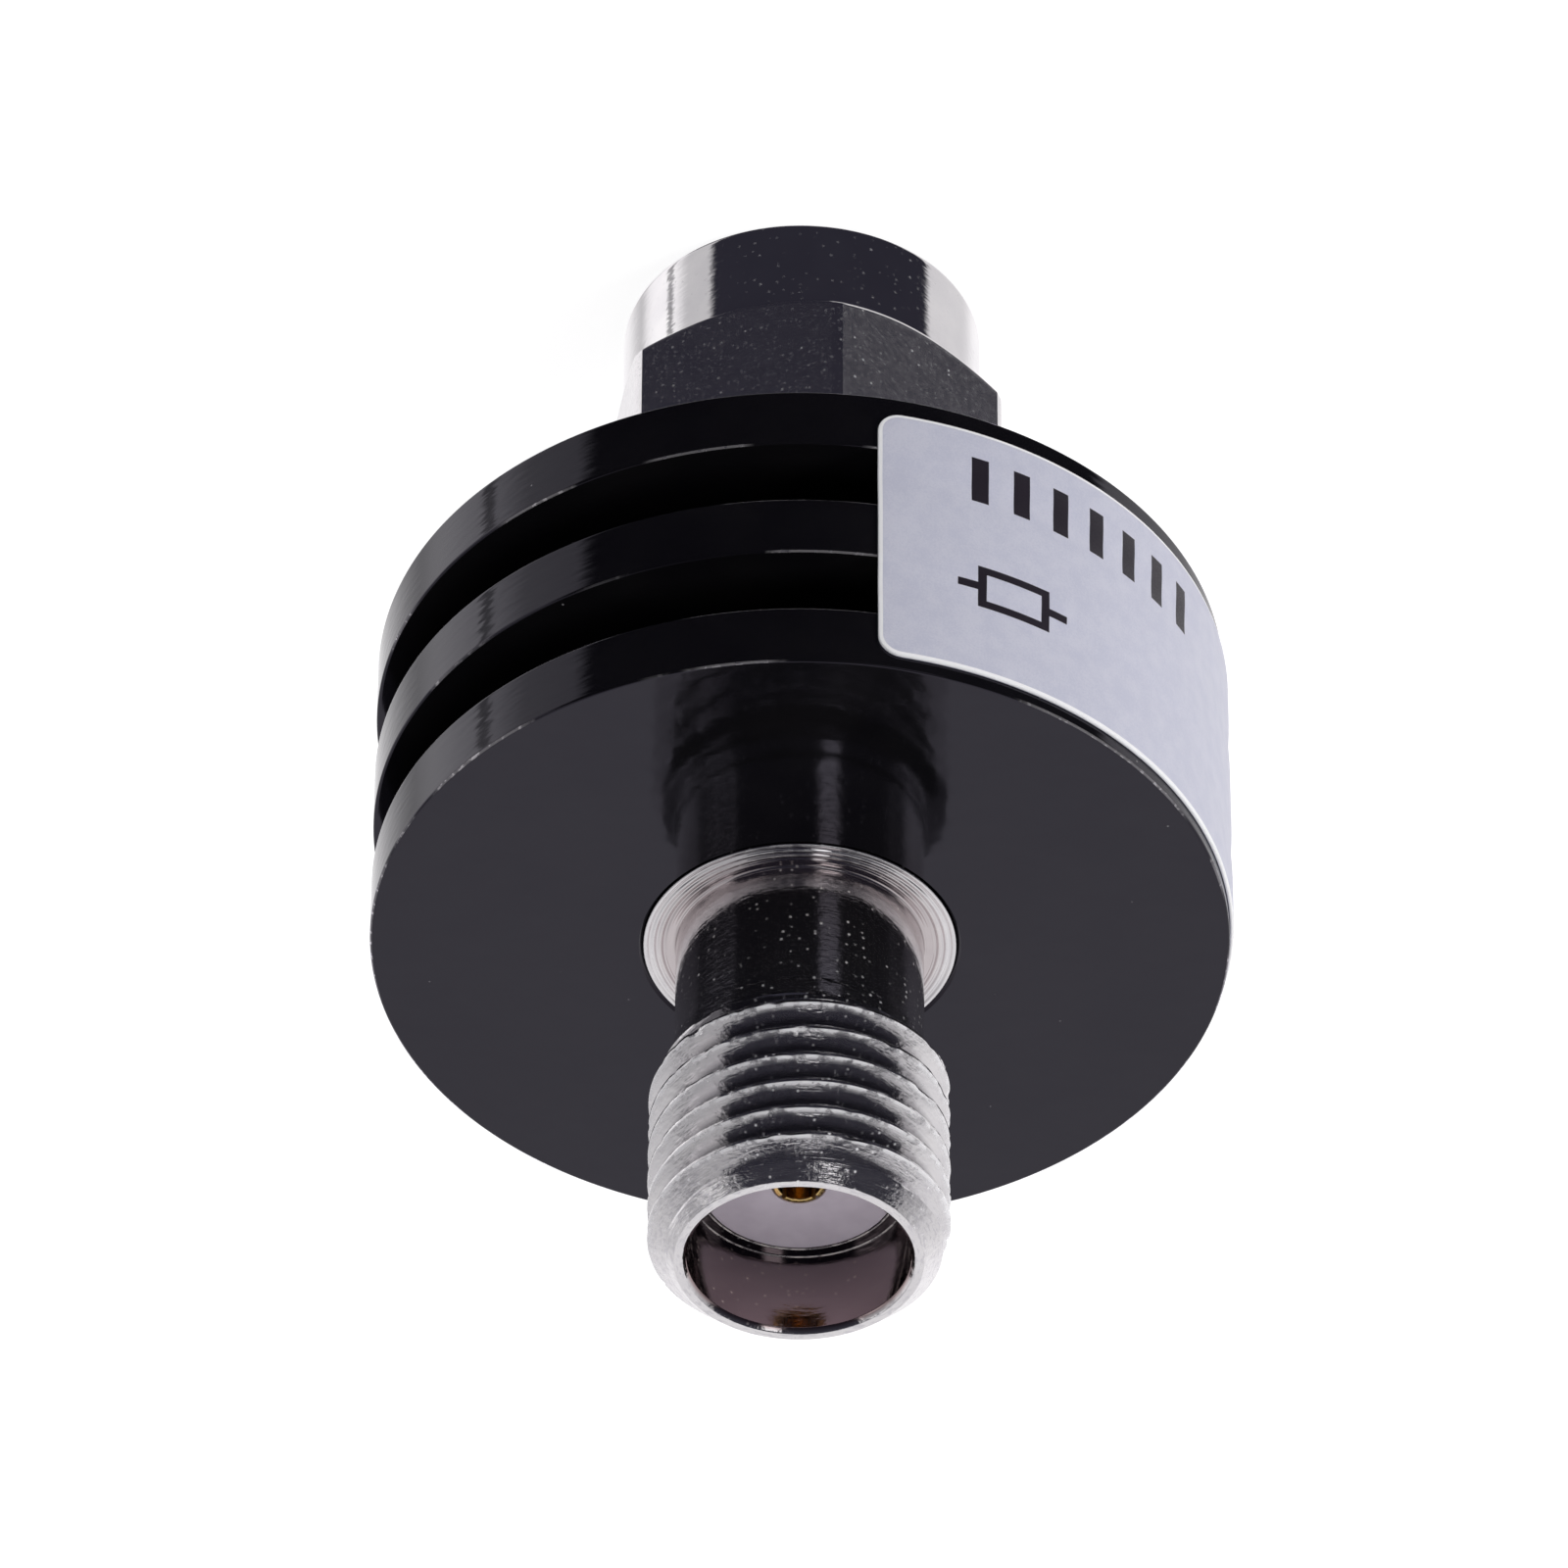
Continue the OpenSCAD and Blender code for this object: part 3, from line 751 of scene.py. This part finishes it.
def mark_jack(obj):
    """Marks where the jack's plating is coarse or tarnished, where it is worn or carries painted highlights,
    and where painted shade darkens it.
    """
    neck_end_z = FACE_Z + NECK_LEN
    crest_z = THREAD_CREST_Z

    def inside(r):
        return r < MOUTH_R + 0.02

    def coarse(r, z, edge, up):
        if inside(r) or z < FACE_Z + 0.1:
            return 0.0
        on_thread = eased(z, neck_end_z, crest_z)
        near_mouth = eased(z, JACK_END_Z - 1.2, JACK_END_Z - 0.5)
        return 0.4 + 0.2 * on_thread + 0.4 * near_mouth

    def tarnish(r, z, edge, up):
        if inside(r):
            return 0.35 if z < JACK_REF_Z + 0.04 else 0.95
        # Browner on the face close to the neck and on the neck's foot.
        on_face = 1 - eased(z, FACE_Z + 0.2, FACE_Z + 0.5)
        return 0.45 * on_face * (1 - eased(r, 2.8, 3.1))

    # Worn plating that doubles as painted highlights: white on the fillets of the mouth's ledge, on the
    # upward-facing crest edges of the thread and, more faintly, on the face's ridges.
    def wear_and_highlight(r, z, edge, up):
        if inside(r):
            on_ledge = 1 - eased(abs(z - JACK_REF_Z), 0.03, 0.06)
            return 0.8 * eased(edge, 0.0, 0.5) * on_ledge
        if z > neck_end_z:
            return eased(r, THREAD_R - 0.1, THREAD_R - 0.05) * eased(up, 0.1, 0.3)
        on_ridge = eased(z, FACE_Z - 0.02, FACE_Z - 0.008) * eased(r, 2.85, 2.9)
        return 0.3 * on_ridge if z < FACE_Z + 0.01 else 0.0

    # Painted shade: dark in the thread roots and on the downward-facing undersides before the first crest,
    # where the teeth shade one another.
    def painted_shade(r, z, edge, up):
        if not neck_end_z < z < JACK_END_Z - 0.8:
            return 0.0
        in_root = 1 - eased(r, THREAD_ROOT_R + 0.08, THREAD_ROOT_R + 0.22)
        root = 0.6 * in_root * eased(z, crest_z, crest_z + 0.2)
        under = 0.9 * eased(-up, 0.35, 0.5) * float(z < crest_z)
        return max(root, under)

    mark(obj, "coarse", coarse)
    mark(obj, "tarnish", tarnish)
    mark(obj, "painted_shade", painted_shade)
    return mark(obj, "wear_and_highlight", wear_and_highlight)


def hex_angles():
    """Angles round the nut, with a column at each end of every flat and of every turned corner."""
    reach = math.acos(FLAT_R / CORNER_R)
    corner = math.pi / 3 - 2 * reach
    flat_columns, corner_columns = 36, 6
    angles = []
    for side in range(6):
        start = HEX_TURN + math.pi / 6 + side * math.pi / 3 - reach
        angles += [start + 2 * reach * k / flat_columns for k in range(flat_columns)]
        angles += [start + 2 * reach + corner * k / corner_columns for k in range(corner_columns)]
    return sorted(a % (2 * math.pi) for a in angles)


def hex_radius(angle):
    """Distance from the axis to the hexagon, its corners turned down."""
    off = (angle - HEX_TURN) % (math.pi / 3) - math.pi / 6
    return min(FLAT_R / math.cos(off), CORNER_R)


def nut_outside(angle):
    """Outline of the nut outside: barrel, front chamfer, flat and rear chamfer."""
    r = hex_radius(angle)
    front = BARREL_LEN - (FLAT_R - BARREL_R) * HEX_SLOPE
    rise = (r - FLAT_R) * HEX_SLOPE
    return rounded([(LEAD_IN_R, 0.0, 0.0), (BARREL_R, 0.0, NUT_EDGE), (BARREL_R, front, 0.015),
                    (r, BARREL_LEN + rise, 0.2), (r, NUT_END_Z - rise - 0.02, 0.03),
                    (FLAT_R - 0.03, NUT_END_Z, 0.02), (BEARING_BORE_R, NUT_END_Z, 0.0)], False)


def nut_radius(r, z, angle):
    """The nut's thread, opened by a cone at the mouth and run out into the relief."""
    thread_end = GASKET_Z - NUT_FLOAT
    return max(r, LEAD_IN_R - (z - LEAD_IN), NUT_MAJOR_R - 2 * (thread_end - z))


def coupling_nut():
    """Barrel and hexagon outside; lead-in, thread, relief, bearing and ring groove inside."""
    thread_end = GASKET_Z - NUT_FLOAT
    relief_end = SHOULDER_Z + NUT_FLOAT - END_CLEAR
    tooth_z = 2.0
    lead = rounded([(LEAD_IN_R, 0.0, 0.0), (LEAD_IN_R, LEAD_IN, 0.0)], False)
    room_low = RING_Z - END_CLEAR
    room_high = RING_END_Z + END_CLEAR
    inside = rounded([(NUT_MAJOR_R, thread_end, 0.0), (NUT_MAJOR_R, relief_end, 0.0),
                      (BEARING_BORE_R, relief_end, 0.03), (BEARING_BORE_R, room_low, 0.0),
                      (RING_ROOM_R, room_low, 0.0), (RING_ROOM_R, room_high, 0.0),
                      (BEARING_BORE_R, room_high, 0.0), (BEARING_BORE_R, NUT_END_Z, 0.0)], False)
    tooth = tooth_outline(NUT_MINOR_R, NUT_MAJOR_R, THREAD_FLAT, 0.02, 0.03, 0.05)
    shell = Shell(hex_angles())
    shell.turn(nut_outside)
    shell.turn(lambda angle: lead)
    shell.thread(tooth, tooth_z, 0.0, LEAD_IN, thread_end, nut_radius)
    shell.turn(lambda angle: inside)

    def on_flat(r, z, edge, up):
        return float(r > FLAT_R * 0.999 and abs(up) < 0.1)

    return mark(shell.piece("coupling_nut_turned"), "satin", on_flat)


def plug_shell():
    """Ferrule, shoulder, bearing with the ring groove, flange and tube of the plug."""
    bevel = (FERRULE_R - LINE_R) / 4
    groove_low = RING_Z - NUT_FLOAT - END_CLEAR
    groove_high = RING_END_Z + END_CLEAR
    return turned("plug_shell_turned", [
        (LINE_R, PLUG_REF_Z, 0.02), (FERRULE_R - bevel, PLUG_REF_Z, 0.02),
        (FERRULE_R, PLUG_REF_Z + bevel, 0.02),
        (FERRULE_R, SHOULDER_Z, 0.02), (BEARING_R, SHOULDER_Z, 0.03), (BEARING_R, groove_low, 0.02),
        (RING_FLOOR_R, groove_low, 0.02), (RING_FLOOR_R, groove_high, 0.02), (BEARING_R, groove_high, 0.02),
        (BEARING_R, FLANGE_Z, 0.03), (FLANGE_R, FLANGE_Z, 0.07), (FLANGE_R, SINK_Z, 0.03),
        (BODY_R, SINK_Z, 0.0),
        (BODY_R, TUBE_END_Z, 0.02), (TUBE_BORE_R, TUBE_END_Z, 0.02), (TUBE_BORE_R, SINK_Z, 0.0),
        (LINE_R, SINK_Z, 0.0)])


def jack_insulator():
    """Bead of the jack, with the step that keeps it in the shell."""
    step_r = LINE_R + 0.18
    return turned("jack_insulator_turned", [
        (BEAD_BORE_R, SPIGOT_Z, 0.0), (step_r, SPIGOT_Z, 0.04), (step_r, SPIGOT_Z + STEP_H, 0.04),
        (BEAD_R, SPIGOT_Z + STEP_H, 0.0), (BEAD_R, JACK_REF_Z, 0.05),
        (CONTACT_TIP_R + 0.02, JACK_REF_Z, 0.03),
        (BEAD_BORE_R, JACK_REF_Z - CONTACT_TAPER, 0.0)])


def plug_insulator():
    """Bead of the plug, with its step inside the tube."""
    return turned("plug_insulator_turned", [
        (BEAD_BORE_R, PLUG_REF_Z, 0.03), (BEAD_R, PLUG_REF_Z, 0.05), (BEAD_R, SINK_Z, 0.0),
        (SPIGOT_R, SINK_Z, 0.04), (SPIGOT_R, CLAMP_Z, 0.04), (BEAD_BORE_R, CLAMP_Z, 0.03)])


def chip_slot():
    """The slot in a conductor that grips the chip."""
    half_t = 0.27
    return ((-2 * CONDUCTOR_R, -half_t, CHIP_Z), (2 * CONDUCTOR_R, half_t, CHIP_END_Z), 0.0)


def jack_contact():
    """Socket contact with its spring slots; its fingers stand a little closer at the tip."""
    floor_z = JACK_REF_Z - SOCKET_DEPTH
    pinch = 0.05
    obj = turned("jack_contact_turned", [
        (0.0, CONTACT_Z, 0.0), (CONDUCTOR_R, CONTACT_Z, 0.04), (CONDUCTOR_R, SPIGOT_Z - COLLAR_T, 0.02),
        (COLLAR_R, SPIGOT_Z - COLLAR_T, 0.03), (COLLAR_R, SPIGOT_Z, 0.03), (CONDUCTOR_R, SPIGOT_Z, 0.02),
        (CONDUCTOR_R, JACK_REF_Z - CONTACT_TAPER, 0.0), (CONTACT_TIP_R, JACK_REF_Z, 0.03),
        (SOCKET_R - pinch, JACK_REF_Z, 0.03), (SOCKET_R, JACK_REF_Z - CONTACT_TAPER, 0.0),
        (SOCKET_R, floor_z, 0.0),
        (0.0, floor_z - SOCKET_R * FLANK_SLOPE, 0.0)], closed=False)
    half_w = SOCKET_SLOT_W / 2
    low = (-2 * CONDUCTOR_R, -half_w, floor_z + SOCKET_SLOT_W)
    high = (2 * CONDUCTOR_R, half_w, JACK_REF_Z + COLLAR_T)
    slots = [(low, high, math.radians(turn)) for turn in (45, 135)]
    return cut(obj, slots + [chip_slot()])


def plug_pin():
    """Contact pin with its rounded tip, and the slot that grips the chip."""
    obj = turned("plug_pin_turned", [
        (0.0, PIN_TIP_Z, 0.0), (PIN_R / 2, PIN_TIP_Z, 0.08), (PIN_R, PIN_TIP_Z + PIN_R, 0.2),
        (PIN_R, PLUG_REF_Z, 0.02),
        (CONDUCTOR_R, PLUG_REF_Z, 0.03), (CONDUCTOR_R, CLAMP_Z, 0.02), (COLLAR_R, CLAMP_Z, 0.03),
        (COLLAR_R, CLAMP_Z + COLLAR_T, 0.03), (CONDUCTOR_R, CLAMP_Z + COLLAR_T, 0.02),
        (CONDUCTOR_R, PIN_END_Z, 0.04), (0.0, PIN_END_Z, 0.0)], closed=False)
    return cut(obj, [chip_slot()])


def gasket():
    """Moulded ring on the shoulder of the plug."""
    inner = FERRULE_R + 0.02
    return turned("gasket_moulded", [
        (inner, GASKET_Z, 0.08), (BEARING_R, GASKET_Z, 0.12),
        (BEARING_R, SHOULDER_Z, 0.08), (inner, SHOULDER_Z, 0.06)])


def retaining_ring():
    """Split ring, open at its gap."""
    edge = 0.04
    outline = rounded([(RING_INNER_R, RING_Z, edge), (RING_OUTER_R, RING_Z, edge),
                       (RING_OUTER_R, RING_END_Z, edge), (RING_INNER_R, RING_END_Z, edge)], True)
    rows = len(outline)
    spans = COLUMNS
    shell = Shell()
    for j in range(spans + 1):
        angle = RING_GAP / 2 + (2 * math.pi - RING_GAP) * j / spans
        for r, z, value in outline:
            shell.add(r, z, angle, value)
    for j in range(spans):
        for i in range(rows):
            k = (i + 1) % rows
            shell.faces.append((j * rows + i, (j + 1) * rows + i, (j + 1) * rows + k, j * rows + k))
    shell.faces.append(tuple(range(rows)))
    shell.faces.append(tuple(spans * rows + i for i in range(rows)))
    return shell.piece("retaining_ring_split")


def label_rows(half_h, half_w, corner, inset):
    """Height and half width of each row of the label, whose corners are rounded."""
    corner_steps, middle_steps = 8, 34
    radius = corner - inset
    ends = []
    for k in range(corner_steps + 1):
        turn = math.pi / 2 * k / corner_steps
        z = half_h - inset - radius * (1 - math.cos(turn))
        ends.append((z, half_w - inset - radius * (1 - math.sin(turn))))
    reach = half_h - inset - radius
    middle = [(reach * (2 * k / middle_steps - 1), half_w - inset) for k in range(1, middle_steps)]
    return [(-z, w) for z, w in ends] + middle + [(z, w) for z, w in reversed(ends)]


def label_sag(z):
    """How far the film sinks into the grooves between the fins."""
    depth = 0.025
    for i in range(2):
        off = z - (SINK_Z + FIN_T + GROOVE_W / 2 + i * (FIN_T + GROOVE_W))
        if abs(off) < GROOVE_W / 2:
            return depth * math.cos(math.pi * off / GROOVE_W) ** 2
    return 0.0


def label():
    """Film wrapped over the fins, with its cut edge rounded a little."""
    outer = LABEL_INNER_R + LABEL_T
    half_w = outer * LABEL_SWEEP / 2
    half_h = (LABEL_END_Z - LABEL_Z) / 2
    centre_z = (LABEL_END_Z + LABEL_Z) / 2
    columns = 120
    points, flat, edge, faces = [], [], [], []

    def sheet(inset, drop, value):
        rows = label_rows(half_h, half_w, LABEL_CORNER, inset)
        first = len(points)
        for z, reach in rows:
            for j in range(columns + 1):
                arc = reach * (2 * j / columns - 1)
                angle = LABEL_CENTRE + arc / outer
                r = outer - drop - label_sag(centre_z + z)
                points.append((r * math.cos(angle) * MM, r * math.sin(angle) * MM, (centre_z + z) * MM))
                flat.append((arc, z))
                edge.append(value)
        return first, len(rows)

    def around(first, rows):
        wide = columns + 1
        loop = [first + j for j in range(wide)]
        loop += [first + i * wide + columns for i in range(1, rows)]
        loop += [first + (rows - 1) * wide + j for j in range(columns - 1, -1, -1)]
        return loop + [first + i * wide for i in range(rows - 2, 0, -1)]

    def fill(first, rows, flip):
        wide = columns + 1
        for i in range(rows - 1):
            for j in range(columns):
                quad = (first + i * wide + j, first + i * wide + j + 1,
                        first + (i + 1) * wide + j + 1, first + (i + 1) * wide + j)
                faces.append(quad[::-1] if flip else quad)

    top, rows = sheet(0.1, 0.0, 0.0)
    fill(top, rows, False)
    loops = [around(top, rows)]
    for inset, drop, value in ((0.075, 0.002, 1.0), (0.015, 0.014, 1.0), (0.0, 0.04, 1.0)):
        loops.append(around(sheet(inset, drop, value)[0], rows))
    under = sheet(0.0, LABEL_T, 0.0)[0]
    fill(under, rows, True)
    loops.append(around(under, rows))
    for upper, lower in zip(loops, loops[1:]):
        count = len(upper)
        for k in range(count):
            n = (k + 1) % count
            faces.append((upper[k], lower[k], lower[n], upper[n]))
    mesh = bpy.data.meshes.new("label_film")
    mesh.from_pydata(points, [], faces)
    mesh.attributes.new("edge", "FLOAT", "POINT").data.foreach_set("value", edge)
    layer = mesh.uv_layers.new(name="flat")
    for loop in mesh.loops:
        layer.data[loop.index].uv = flat[loop.vertex_index]
    work = bmesh.new()
    work.from_mesh(mesh)
    loose = [v for v in work.verts if not v.link_faces]
    bmesh.ops.delete(work, geom=loose, context="VERTS")
    bmesh.ops.recalc_face_normals(work, faces=work.faces)
    work.to_mesh(mesh)
    work.free()
    return smooth_object("label_film", mesh)


def build():
    """Every piece in its place, with its finish."""
    plate, bead, contact = nickel(), ptfe(), gold()
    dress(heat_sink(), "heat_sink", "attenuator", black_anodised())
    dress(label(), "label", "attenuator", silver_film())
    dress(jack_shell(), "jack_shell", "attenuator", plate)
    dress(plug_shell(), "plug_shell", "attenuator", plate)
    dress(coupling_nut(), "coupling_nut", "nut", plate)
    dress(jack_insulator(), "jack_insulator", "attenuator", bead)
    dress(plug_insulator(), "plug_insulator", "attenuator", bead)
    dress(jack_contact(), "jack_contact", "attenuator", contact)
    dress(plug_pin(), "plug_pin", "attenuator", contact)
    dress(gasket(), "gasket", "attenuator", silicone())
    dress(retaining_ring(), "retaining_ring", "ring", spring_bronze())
    brass = plain_brass()
    plain = (("attenuator_chip", alumina()), ("clamp_half_front", brass), ("clamp_half_rear", brass))
    for node, finish in plain:
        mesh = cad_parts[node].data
        mesh.materials.clear()
        mesh.materials.append(finish)


def camera():
    """The photograph's view: from 41 degrees above, with the jack towards the foot of the picture."""
    tilt, roll = math.radians(41.23), math.radians(0.248)
    distance, shift_x, shift_y, focal, width = 268.0, 0.346, 3.415, 13068.0, 1600.0
    right = Vector((-1, 0, 0))
    down = Vector((0, math.sin(tilt), math.cos(tilt)))
    ahead = Vector((0, math.cos(tilt), -math.sin(tilt)))
    place_mm = Vector((0, 0, FACE_Z)) - ahead * distance - right * shift_x - down * shift_y
    across = right * math.cos(roll) - down * math.sin(roll)
    below = right * math.sin(roll) + down * math.cos(roll)
    turn = Matrix((across, -below, -ahead)).transposed().to_4x4()
    lens = bpy.data.cameras.new("camera")
    lens.sensor_width = 36.0
    lens.lens = focal / width * lens.sensor_width
    lens.clip_start = 0.01
    lens.clip_end = 10.0
    obj = bpy.data.objects.new("camera", lens)
    obj.matrix_world = Matrix.Translation(place_mm * MM) @ turn
    bpy.context.scene.collection.objects.link(obj)
    bpy.context.scene.camera = obj


def floor():
    """A white floor that keeps a soft shadow."""
    mesh = bpy.data.meshes.new("floor")
    half = 0.7
    corners = [(-half, -half, 0), (half, -half, 0), (half, half, 0), (-half, half, 0)]
    mesh.from_pydata(corners, [], [(0, 1, 2, 3)])
    obj = bpy.data.objects.new("floor", mesh)
    obj.location.z = -0.02 * MM
    bpy.context.scene.collection.objects.link(obj)
    mat = bpy.data.materials.new("floor")
    mat.use_nodes = True
    tree = mat.node_tree
    tree.nodes.clear()
    out = tree.nodes.new("ShaderNodeOutputMaterial")
    plain = add_node(tree, "ShaderNodeBsdfDiffuse", {"Color": (0.8, 0.8, 0.8, 1)}).outputs[0]
    shaded = add_node(tree, "ShaderNodeBsdfDiffuse", {"Color": (0.45, 0.45, 0.45, 1)}).outputs[0]
    white = add_node(tree, "ShaderNodeEmission", {"Color": (1, 1, 1, 1), "Strength": 0.86}).outputs[0]
    seen = add_node(tree, "ShaderNodeAddShader", {0: shaded, 1: white}).outputs[0]
    path = tree.nodes.new("ShaderNodeLightPath")
    mixed = add_node(tree, "ShaderNodeMixShader", {0: path.outputs["Is Camera Ray"], 1: plain, 2: seen})
    tree.links.new(mixed.outputs[0], out.inputs["Surface"])
    mesh.materials.append(mat)
    obj.visible_glossy = False


def studio():
    """White all round but for the dark room behind the camera, with a strip light in it at two heights."""
    world = bpy.data.worlds.new("studio")
    bpy.context.scene.world = world
    world.use_nodes = True
    tree = world.node_tree
    tree.nodes.clear()
    lit = studio_level(tree)
    tint = blended(tree, lit, (0.026, 0.025, 0.036, 1), (1.0, 0.985, 1.0, 1))
    path = tree.nodes.new("ShaderNodeLightPath")
    power = calc(tree, "MAXIMUM", lit, 1.0)
    shown = add_node(tree, "ShaderNodeBackground", {"Color": (1, 1, 1, 1), "Strength": 1.0}).outputs[0]
    lights = add_node(tree, "ShaderNodeBackground", {"Color": tint, "Strength": power}).outputs[0]
    mixed = add_node(tree, "ShaderNodeMixShader", {0: path.outputs["Is Camera Ray"], 1: lights, 2: shown})
    out = tree.nodes.new("ShaderNodeOutputWorld")
    tree.links.new(mixed.outputs[0], out.inputs["Surface"])


def studio_level(tree):
    """How bright the studio is in each direction; headings in degrees, heights as the sine of the rise."""
    ray = add_node(tree, "ShaderNodeTexCoord", {}).outputs["Generated"]
    split = add_node(tree, "ShaderNodeSeparateXYZ", {0: ray})
    level = add_node(tree, "ShaderNodeCombineXYZ", {0: split.outputs[0], 1: split.outputs[1]}).outputs[0]
    heading = add_node(tree, "ShaderNodeVectorMath", {0: level}, operation="NORMALIZE").outputs[0]
    height = split.outputs[2]

    def dot(vector, way):
        inputs = {0: vector, 1: way}
        return add_node(tree, "ShaderNodeVectorMath", inputs, operation="DOT_PRODUCT").outputs["Value"]

    def towards(degrees):
        return dot(heading, (math.cos(math.radians(degrees)), math.sin(math.radians(degrees)), 0.0))

    def within(degrees, half, soft):
        near = math.cos(math.radians(half - soft))
        far = math.cos(math.radians(half + soft))
        return ranged(tree, towards(degrees), far, near)

    def between(low_out, low_in, high_in, high_out):
        return product(tree, ranged(tree, height, low_out, low_in), ranged(tree, height, high_out, high_in))

    below = ranged(tree, height, 0.5, -0.1)
    left = ranged(tree, towards(14.0), 0.906, 1.0, 0.0, 0.52)
    behind = ranged(tree, towards(90.0), 0.6, 0.95, 0.0, 0.4)
    side = ranged(tree, towards(155.0), 0.6, 1.0, 0.0, 0.15)
    low = total(tree, left, behind, side, 0.62)
    window = ranged(tree, towards(145.0), 0.94, 0.99, 0.0, 0.2)
    high = total(tree, ranged(tree, towards(90.0), 0.2, 1.1, 0.38, 0.83), window)
    bright = total(tree, product(tree, low, below), product(tree, high, rest(tree, below)))
    beside = calc(tree, "MAXIMUM", within(352.0, 28.0, 6.0), within(170.0, 14.0, 6.0))
    dim = product(tree, beside, between(0.61, 0.64, 0.7, 0.73), 0.8)
    shelf = product(tree, within(347.0, 15.0, 6.0), between(0.46, 0.5, 0.6, 0.63), 0.6)
    bright = total(tree, product(tree, bright, rest(tree, dim)), shelf)
    room = within(256.0, 75.0, 3.0)
    table_rise = math.radians(-75.0)
    table = dot(ray, (math.cos(table_rise), 0.0, math.sin(table_rise)))
    dark = calc(tree, "MAXIMUM", room, ranged(tree, table, 0.945, 0.97))
    gap = product(tree, within(5.0, 2.0, 1.0), below, 0.7)
    shade = rest(tree, calc(tree, "MAXIMUM", dark, gap))
    strip_heights = total(tree, between(0.45, 0.6, 0.675, 0.705), between(0.9, 0.925, 0.955, 0.968))
    strip = product(tree, within(243.0, 8.0, 4.0), strip_heights, 1.4)
    return total(tree, product(tree, bright, shade), strip)


def lamp(name, heading, height, power):
    """A soft lamp that lights matt surfaces and doesn't show in the metal; angles in degrees."""
    distance, size = 300.0, 120.0
    turn, rise = math.radians(heading), math.radians(height)
    way = Vector((math.cos(turn) * math.cos(rise), math.sin(turn) * math.cos(rise), math.sin(rise)))
    target = Vector((0, 0, (SINK_Z + FACE_Z) / 2))
    light = bpy.data.lights.new(name, "AREA")
    light.shape = "DISK"
    light.size = size * MM
    light.energy = power
    obj = bpy.data.objects.new(name, light)
    aim = way.to_track_quat("Z", "Y").to_matrix().to_4x4()
    obj.matrix_world = Matrix.Translation((target + way * distance) * MM) @ aim
    obj.visible_glossy = False
    bpy.context.scene.collection.objects.link(obj)


build()
camera()
floor()
studio()
lamp("label_side", 206.0, 18.0, 0.42)
lamp("above", 270.0, 62.0, 0.25)
bpy.context.scene.view_settings.view_transform = "Standard"
